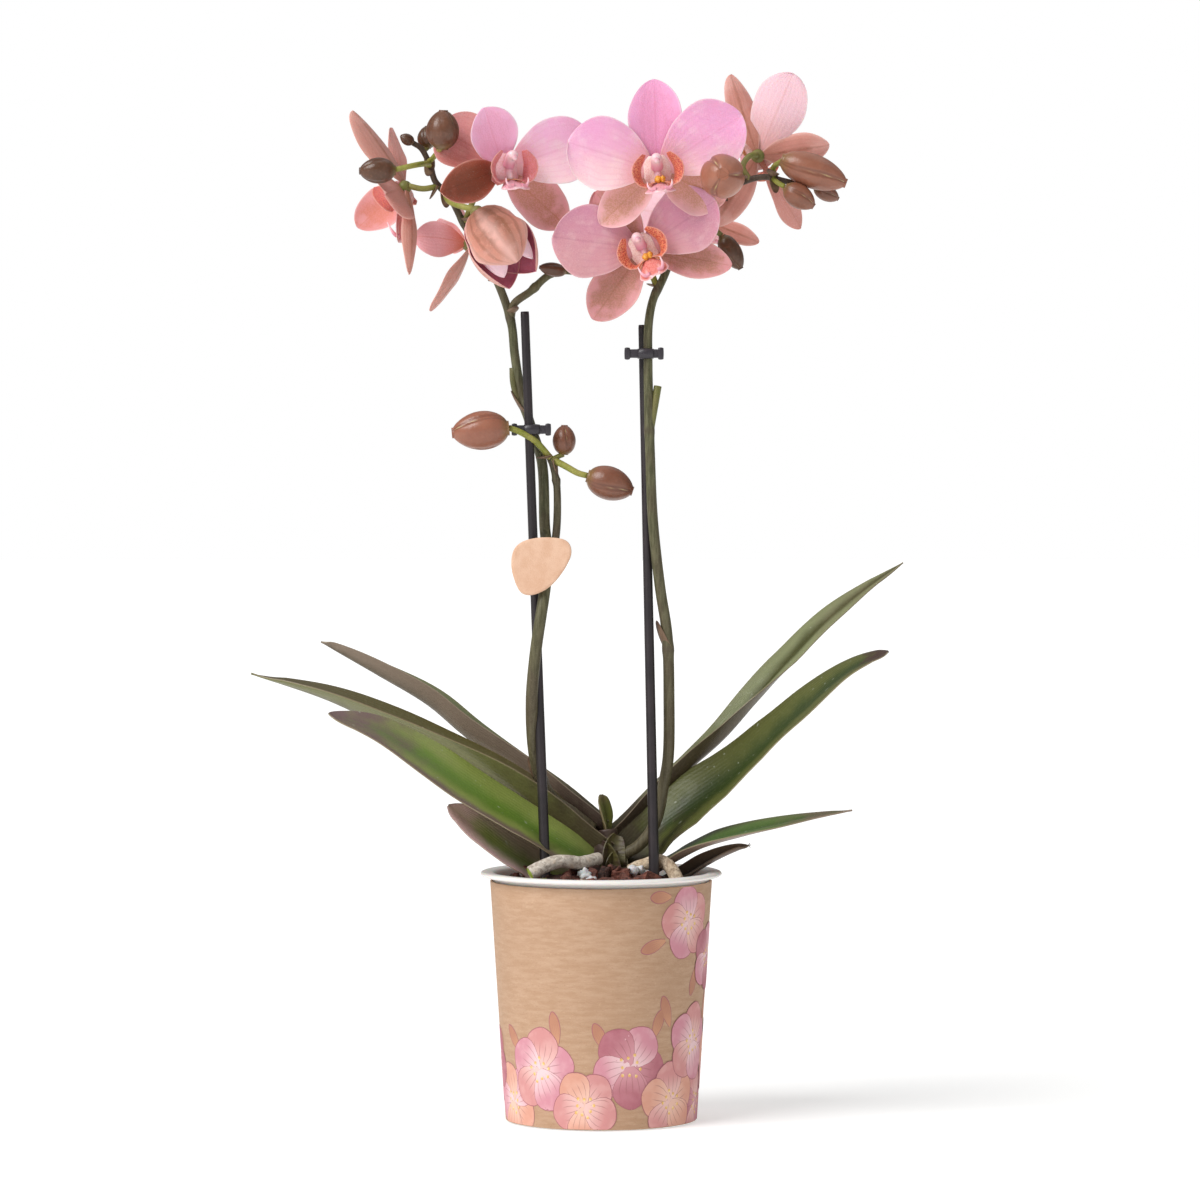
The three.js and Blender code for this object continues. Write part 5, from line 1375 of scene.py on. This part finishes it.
def make_buds():
    for name, (low, high, size, warm) in BUDS.items():
        shape = Shape()
        low, high = Vector(low), Vector(high)
        low -= (high - low).normalized() * BUD_SEAT
        turn = random.Random(name).uniform(0, 2)

        def seam_gap(s, angle):
            """How far an angle is from the nearest seam, from 0 to 1."""
            part = (angle + turn + 0.5 * s) * SEAMS / (2 * math.pi) % 1
            return 2 * min(part, 1 - part)

        def radius_at(s, angle):
            groove = 0.12 * bell(seam_gap(s, angle), 0.09) * soft_step(s, 0.12, 0.45)
            crown = 0.05 * math.sin(math.pi * seam_gap(s, angle)) * soft_step(s, 0.2, 0.8)
            return max(size * egg_swell(s), 0.4) * (0.965 - groove + crown)

        shape.rod(Curve([low, low.lerp(high, 0.5), high]), radius_at, 64, 48,
                  marks_at=lambda s, angle, place: (s, seam_gap(s, angle), 1.0, warm))
        shape.build(name + "_fine", [BUD_LOOK], [name])


# Crown: a stump with the feet of the leaves that clasp it
CROWN_SPINE = [(5.5, 0, 64), (5, 1, 80), (4, 2, 94), (2.5, 4, 108)]
CROWN_WIDE = 5.9
CROWN_NARROW = 3.3
SHEATH_FEET = (84, 88, 91.5, 94.5)
SHEATH_HEIGHT = 12
SHEATH_LEAN = 3.4


def sheath_sheet(curve, low, hand):
    """A leaf's foot that clasps the crown's front and leans towards its leaf's side."""
    foot = curve.where(low)
    rise = SHEATH_HEIGHT / curve.length
    lean = Vector((0.3 * hand, -1, 0)).normalized()
    aside = UP.cross(lean)

    def curve_at(s):
        place = min(foot + rise * s, 1)
        away = mix(CROWN_WIDE, CROWN_NARROW, place) + mix(0.1, 0.7, s * s)
        return curve.at(place) + lean * away + aside * (hand * SHEATH_LEAN * (s * s - 0.3))

    def section_at(s, t):
        half = 1.1 * mix(CROWN_WIDE, CROWN_NARROW, foot) * math.sqrt(max(0.02, 1 - 0.85 * s ** 3))
        return half * t, -0.6 * half * t * t

    return Sheet(curve_at, lambda s, tangent: aside, section_at, 10, 12)


def make_crown():
    shape = Shape()
    curve = Curve(CROWN_SPINE)

    def radius_at(s, angle):
        ring = 0.35 * math.sin(34 * s + math.sin(angle) * 2)
        return mix(CROWN_WIDE, CROWN_NARROW, s) + ring

    shape.rod(curve, radius_at, 60, 24)
    for k, low in enumerate(SHEATH_FEET):
        shape.blade(sheath_sheet(curve, low, 1 if k % 2 else -1), 0.7, edge=0.5)
    shape.build("crown_fine", [crown_look()], ["crown"])


# Roots: a spine, the radius at each end and the look
ROOTS = {
    "root_left": ([(-1, -6.5, 98), (-7.8, -14, 97.1), (-15.2, -19, 98), (-20.7, -22, 96.6),
                   (-26.2, -24, 93.8)], 2.6, 2.9, "silver"),
    "root_stub": ([(-20.4, -15.5, 74), (-20.7, -20, 84), (-20.7, -21, 91.6)], 2.4, 2.7, "green"),
    "root_mid": ([(0, -8, 91), (-5, -14, 91.5), (-8, -20, 86), (-9, -23, 78)], 2, 2.2, "silver"),
    "root_right": ([(11, -5, 93.5), (17, -8, 96.2), (22.4, -9.6, 97.2), (26.6, -13, 94), (29.6, -16, 86),
                    (30, -16.6, 77)], 2.6, 2.9, "tan"),
    "root_back": ([(6, 8, 93), (8, 16, 97), (12, 25, 94), (15, 30, 84), (15.5, 31, 76)], 2.2, 2.2, "silver"),
}
ROOT_SIDES = 20
# The cut end's rings: the share of the root's radius, and how far each stands out
CUT_RINGS = ((0.84, 0.0), (0.72, -0.25), (0.45, -0.1), (0.12, 0.1))


def make_roots():
    tip = root_tip_look()
    for name, (spine, wide, narrow, look) in ROOTS.items():
        shape = Shape()
        curve = Curve(spine)
        seed = random.Random(name).uniform(0, 50)

        def radius_at(s, angle):
            way = curve.at(s) * 0.22 + Vector((math.cos(angle), math.sin(angle), seed))
            uneven = 0.1 * noise.noise(way) + 0.05 * noise.noise(way * 2.7)
            return mix(wide, narrow, s * s) * (0.93 + uneven) * (1 if s < 0.985 else 0.9)

        shape.rod(curve, radius_at, round(curve.length * 1.6), ROOT_SIDES, cap_kind=1, open_end=True)
        end = curve.tangent(1)
        side = end.orthogonal().normalized()
        other = end.cross(side)
        rings = []
        for share, sink in CUT_RINGS:
            ring = []
            for angle in angles(ROOT_SIDES):
                way = side * math.cos(angle) + other * math.sin(angle)
                ring.append(shape.point(curve.at(1) + way * narrow * share + end * sink, 1, 0, 1, share))
            rings.append(ring)
        shape.skin(rings, 1)
        shape.face(rings[-1], 1)
        shape.build(name + "_fine", [ROOT_LOOKS[look], tip], [name])


# Pot and card sleeve
def make_pot():
    shape = Shape()
    base, rim, top = POT_BASE_RADIUS, RIM_RADIUS, POT_HEIGHT
    throat, floor = POT_TOP_RADIUS - POT_WALL, POT_BASE_RADIUS - POT_WALL
    profile = [(0.01, 0), (base - 1.2, 0), (base - 0.4, 0.25), (base, 1),
               (POT_TOP_RADIUS - 0.1, top - RIM_LIP - 0.3), (POT_TOP_RADIUS + 0.5, top - RIM_LIP),
               (rim - 0.9, top - RIM_LIP), (rim - 0.35, top - 1.5), (rim - 0.05, top - 1.1),
               (rim - 0.05, top - 0.7), (rim - 0.4, top - 0.25), (rim - 1, top - 0.02),
               (throat + 1.6, top - 0.15), (throat + 0.7, top - 0.4), (throat + 0.1, top - 1),
               (throat, top - 1.8), (mix(throat, floor, 0.5), top / 2), (floor, POT_WALL), (0.01, POT_WALL)]
    shape.turned(profile, 144)
    # Drain holes as dark discs on the closed base: painted shade, not openings
    for k in range(4):
        angle = (k + 0.5) * math.pi / 2
        centre = Vector((DRAIN_CIRCLE * math.cos(angle), DRAIN_CIRCLE * math.sin(angle), 0.03))
        ring = [shape.point(centre + Vector((math.cos(a), math.sin(a), 0)) * DRAIN_RADIUS)
                for a in angles(24)]
        shape.face(ring[::-1], 1, False)
    shape.build("pot_fine", [pot_look(), hole_shade_look()], ["pot"])


def wrap_radius(z):
    body = mix(POT_BASE_RADIUS, POT_TOP_RADIUS, (z - 1) / (POT_HEIGHT - RIM_LIP - 1))
    return body + WRAP_GAP + WRAP_WALL


def on_wrap(x, z, lift):
    """A point on the sleeve: x is the way round from the front, measured at the top edge."""
    angle = x / wrap_radius(WRAP_TOP) - math.pi / 2
    radius = wrap_radius(z) + lift
    return Vector((radius * math.cos(angle), radius * math.sin(angle), z))


# The lap seam: the way round of its columns, and how far its flap stands out and reaches in
LAP_COLUMNS = (112, 114, 116, 118, 120)
LAP_LIFT = 0.3
LAP_ROOT = -0.1


def make_wrap():
    shape = Shape()
    low, high = wrap_radius(WRAP_BOTTOM), wrap_radius(WRAP_TOP)
    profile = [(low - WRAP_WALL, WRAP_BOTTOM), (low - 0.1, WRAP_BOTTOM), (low, WRAP_BOTTOM + 0.15)]
    profile += [(mix(low, high, k / 8), mix(WRAP_BOTTOM, WRAP_TOP, k / 8)) for k in range(1, 8)]
    profile += [(high, WRAP_TOP - 0.15), (high - 0.1, WRAP_TOP), (high - WRAP_WALL, WRAP_TOP)]
    shape.turned(profile, 160, closed=True)
    front, rear = [[[shape.point(on_wrap(x, z, lift)) for x in LAP_COLUMNS]
                    for z in (WRAP_BOTTOM + 0.2, WRAP_TOP - 0.2)] for lift in (LAP_LIFT, LAP_ROOT)]
    shape.skin(front, 0, False, loop=False)
    shape.face([rear[0][0], front[0][0], front[1][0], rear[1][0]], 0, False)
    shape.face([front[0][-1], rear[0][-1], rear[1][-1], front[1][-1]], 0, False)
    shape.build("wrap_fine", [card_look()], ["wrap"])


# The print: petals and leaves in thin layers over the card
def printed_petal(shape, centre, angle, length, width, kind, lift, grow=0.0, notch=0.1):
    """A flat petal or leaf printed on the card, as a small grid that follows the sleeve."""
    steps, columns = 9, 8
    ahead = Vector((math.cos(angle), math.sin(angle)))
    aside = Vector((-ahead.y, ahead.x))
    rows = []
    for i in range(steps + 1):
        s = math.sin(math.pi / 2 * i / steps)
        bare = math.sin(math.pi * (0.06 + 0.94 * s) ** 1.35) ** 0.62 if s < 0.999 else 0.0
        half = max(0.12, width / 2 * bare + grow)
        row = []
        for j in range(columns + 1):
            t = 2 * j / columns - 1
            reach = (length + grow) * s * (1 - notch * s ** 6 * bell(t, 0.3))
            spot = Vector(centre) + ahead * reach + aside * half * t
            z = clamp(spot.y, WRAP_BOTTOM + 0.3, WRAP_TOP - 0.3)
            row.append(shape.point(on_wrap(spot.x, z, lift), s, t))
        rows.append(row)
    shape.skin(rows, kind, False, loop=False, flip=True)


PINK, ROSE, PEACH, MAUVE, LINE, GOLD, LEAF = range(7)
# Each blossom: the way round from the front, height, radius, turn in degrees and colours
BLOSSOMS = [
    (-27, 22, 16, 10, PINK, ROSE), (-7, 9, 14, 50, ROSE, PEACH), (12, 24, 16, -14, MAUVE, PINK),
    (32, 10, 15, 24, PEACH, ROSE), (-45, 9, 15, -30, PEACH, PINK), (45, 31, 15, 8, PINK, ROSE),
    (38, 76, 14, 30, ROSE, PINK), (56, 62, 13, 0, MAUVE, PINK), (53, 8, 14, 40, MAUVE, ROSE),
    (68, 24, 14, 16, PEACH, ROSE), (90, 14, 15, 40, PINK, ROSE), (100, 32, 11, -20, ROSE, MAUVE),
    (-66, 22, 15, 60, MAUVE, PINK), (-90, 12, 15, 12, ROSE, PEACH), (-103, 27, 12, 33, PINK, ROSE),
    (84, 74, 14, 52, PEACH, ROSE), (-84, 70, 14, -8, ROSE, PINK), (-106, 60, 12, 20, MAUVE, PINK),
    (98, 56, 12, 5, PINK, MAUVE),
]
# Each sprig leaf: the way round, height, direction in degrees and length
SPRIGS = [
    (-18, 32, 100, 12), (2, 30, 116, 11), (-38, 28, 130, 12), (30, 38, 110, 12), (22, 34, 70, 11),
    (56, 40, 60, 11), (-55, 24, 100, 11), (26, 70, 200, 11), (46, 60, 250, 12), (28, 86, 180, 9),
    (60, 47, 250, 10), (80, 30, 80, 11), (106, 42, 80, 11), (-78, 32, 70, 12), (-100, 34, 110, 11),
    (-74, 58, 290, 11), (-96, 80, 120, 9), (74, 62, 230, 10), (96, 66, 300, 10),
]
PRINT_LIFT = 0.05
LAYER = 0.009
LINE_GROW = 0.22
DOT = 1.3
SPRIG_WIDTH = 4.4


def make_print():
    shape = Shape()
    for x, z, way, length in SPRIGS:
        for kind, layer, grow in ((LINE, 0, 0.25), (LEAF, 1, 0)):
            lift = PRINT_LIFT + LAYER * layer
            printed_petal(shape, (x, z), math.radians(way), length, SPRIG_WIDTH, kind, lift, grow, 0)
    for order, (x, z, size, turn, first, second) in enumerate(BLOSSOMS):
        base = PRINT_LIFT + 2 * LAYER + 14 * LAYER * (order % 2)
        for k in range(5):
            angle = math.radians(turn + 72 * k)
            lift = base + 2 * k * LAYER
            kind = second if k % 2 else first
            printed_petal(shape, (x, z), angle, size, size * 0.98, LINE, lift, LINE_GROW)
            printed_petal(shape, (x, z), angle, size, size * 0.98, kind, lift + LAYER)
        for k in range(9):
            angle = math.radians(40 * k + turn)
            spread = size * (0.16 if k % 2 else 0.24)
            dot = (x + spread * math.cos(angle), z + spread * math.sin(angle))
            printed_petal(shape, dot, angle, DOT, DOT, GOLD, base + 12 * LAYER, 0, 0)
    shape.build("wrap_print", PRINT_LOOKS, [])


# Bark: a mound of uneven chips, with fibres and a few white crumbs
BARK_SEED = 11
# Blender seeds its noise vectors by the clock where a script doesn't
SKIN_SEED = 1795737468
CHIP_COUNT = 150
CHIP_SPREAD = 0.9
GOLDEN_ANGLE = 2.39996
FIBRE_COUNT = 46
FRONT_RISE = 1.8
FIBRE, CRUMB = 3, 4
# Each tuft of standing shreds: its place and the height it reaches
SHREDS = [(-30, -12, 96), (-13, -22, 92), (-1.5, -14, 96), (4, -13, 97), (10, -16, 92), (20, -20, 92)]
CRUMBS = [(-6, -16, 93, 2.5), (-3.5, -18, 91, 1.9), (-7, -12, 92.5, 1.7), (-2.5, -12, 92, 1.5),
          (11.5, -14, 94.2, 2.2), (14.5, -12, 94.4, 1.8), (17, -11, 92.6, 1.5), (9, -14, 90.4, 1.2),
          (24, -20, 89.2, 1.4), (-26, 6, 88, 1.3), (22, 18, 88, 1.5), (-12, 24, 88, 1.6), (3, 28, 87, 1.3)]


def mound(x, y):
    """The height that the chips reach at a place in the pot."""
    return BARK_LEVEL + 1.5 + BARK_MOUND * (1 - soft_step(math.hypot(x, y), 4, 34))


def tumble(dice, lean):
    """A turn at random: any way round, and a lean to each side."""
    turn = Matrix.Rotation(dice.uniform(0, math.pi), 3, "Z")
    tilt = Matrix.Rotation(dice.uniform(-lean, lean), 3, "X")
    return turn @ (tilt @ Matrix.Rotation(dice.uniform(-0.5, 0.5), 3, "Y"))


def make_bark():
    shape = Shape()
    dice = random.Random(BARK_SEED)
    noise.seed_set(SKIN_SEED)
    inner = POT_TOP_RADIUS - POT_WALL - 1.2
    rings = []
    for i in range(9):
        radius = max(0.01, inner * i / 8)
        ring = []
        for angle in angles(24):
            x, y = radius * math.cos(angle), radius * math.sin(angle)
            lift = 1.6 * noise.noise(Vector((x, y, 3)) * 0.2)
            ring.append(shape.point((x, y, mound(x, y) - 6 + lift)))
        rings.append(ring)
    shape.skin(rings, 1, flip=True)
    for k in range(CHIP_COUNT):
        radius = inner * math.sqrt(dice.uniform(0.01, 1)) * CHIP_SPREAD
        angle = k * GOLDEN_ANGLE + dice.uniform(-0.3, 0.3)
        x, y = radius * math.cos(angle), radius * math.sin(angle)
        room = clamp((inner - radius) / 6, 0.45, 1)
        size = [room * dice.uniform(*reach) for reach in ((6, 13), (4, 8), (2.5, 5.5))]
        turn = tumble(dice, 0.6)
        place = (x, y, mound(x, y) - dice.uniform(0.5, 4.5) + FRONT_RISE * soft_step(-y, 4, 20))
        shape.block(size, place, turn, dice.choice((0, 0, 1, 1, 2)), 4, 2.2, seed=k, round_off=0.18)
    for x, y, top in SHREDS:
        for k in range(4):
            size = (dice.uniform(1.8, 3.8), dice.uniform(1, 2), dice.uniform(7, 10))
            turn = tumble(dice, 0.5)
            place = (x + dice.uniform(-2.5, 2.5), y + dice.uniform(-1.5, 1.5),
                     top - size[2] / 2 - dice.uniform(0, 3))
            shape.block(size, place, turn, dice.choice((0, 1, 2)), 4, 1.8, seed=x + k, round_off=0.18)
    for k in range(FIBRE_COUNT):
        radius = inner * math.sqrt(dice.uniform(0.02, 0.9)) * CHIP_SPREAD
        angle = dice.uniform(0, 2 * math.pi)
        start = Vector((radius * math.cos(angle), radius * math.sin(angle), 0))
        start.z = mound(start.x, start.y) - 2
        drift = Vector((dice.uniform(-1, 1), dice.uniform(-1, 1), dice.uniform(0.1, 0.8)))
        bend = Vector((dice.uniform(-3, 3), dice.uniform(-3, 3), dice.uniform(0, 2)))
        reach = dice.uniform(3, 8)
        strand = Curve([start, start + drift * reach * 0.5 + bend * 0.4, start + drift * reach])
        thick = dice.uniform(0.12, 0.32)
        shape.rod(strand, lambda s, angle: thick * (1 - 0.5 * s), 8, 6, FIBRE)
    for k, (x, y, z, size) in enumerate(CRUMBS):
        shape.lump((x, y, z), (size, size * 0.9, size * 0.85), CRUMB, 0.7, seed=k * 3 + 1, segments=14)
    shape.build("bark_fine", BARK_LOOKS, ["bark"])


# Floor, light and camera
def make_stage():
    floor = bpy.data.meshes.new("floor")
    corners = [(x * FLOOR_HALF, y * FLOOR_HALF, 0) for x, y in ((-1, -1), (1, -1), (1, 1), (-1, 1))]
    floor.from_pydata(corners, [], [(0, 1, 2, 3)])
    look = Look("floor", 0.85, Emission_Color=(255, 255, 255), Emission_Strength=FLOOR_GLOW)
    floor.materials.append(look.made(look.blend(look.grain(60, 1) * 0.1, (224, 224, 223), (220, 220, 219))))
    piece = bpy.data.objects.new("floor", floor)
    bpy.context.scene.collection.objects.link(piece)


def make_light():
    world = bpy.data.worlds.new("studio")
    bpy.context.scene.world = world
    world.use_nodes = True
    tree = world.node_tree
    background = tree.nodes["Background"]
    background.inputs["Color"].default_value = (1, 1, 1, 1)
    path = tree.nodes.new("ShaderNodeLightPath")
    strength = tree.nodes.new("ShaderNodeMapRange")
    strength.inputs["To Min"].default_value = SKY_LIGHT
    strength.inputs["To Max"].default_value = SKY_SEEN
    tree.links.new(path.outputs["Is Camera Ray"], strength.inputs["Value"])
    tree.links.new(strength.outputs["Result"], background.inputs["Strength"])
    for name, (way, energy, spread) in SUNS.items():
        lamp = bpy.data.lights.new(name, "SUN")
        lamp.energy = energy
        lamp.angle = math.radians(spread)
        holder = bpy.data.objects.new(name, lamp)
        holder.rotation_euler = Vector(way).to_track_quat("Z", "Y").to_euler()
        bpy.context.scene.collection.objects.link(holder)


def make_camera():
    lens = bpy.data.cameras.new("camera")
    lens.lens = LENS
    holder = bpy.data.objects.new("camera", lens)
    holder.location = EYE * MM
    holder.rotation_euler = (math.pi / 2 - PITCH_DOWN, 0, 0)
    bpy.context.scene.collection.objects.link(holder)
    bpy.context.scene.camera = holder
    bpy.context.scene.view_settings.view_transform = "Standard"


make_camera()
make_light()
make_stage()
make_pot()
make_wrap()
make_print()
make_bark()
make_crown()
make_roots()
make_leaves()
make_stakes()
make_spikes()
make_buds()
make_clips()
make_tag()
make_blooms()
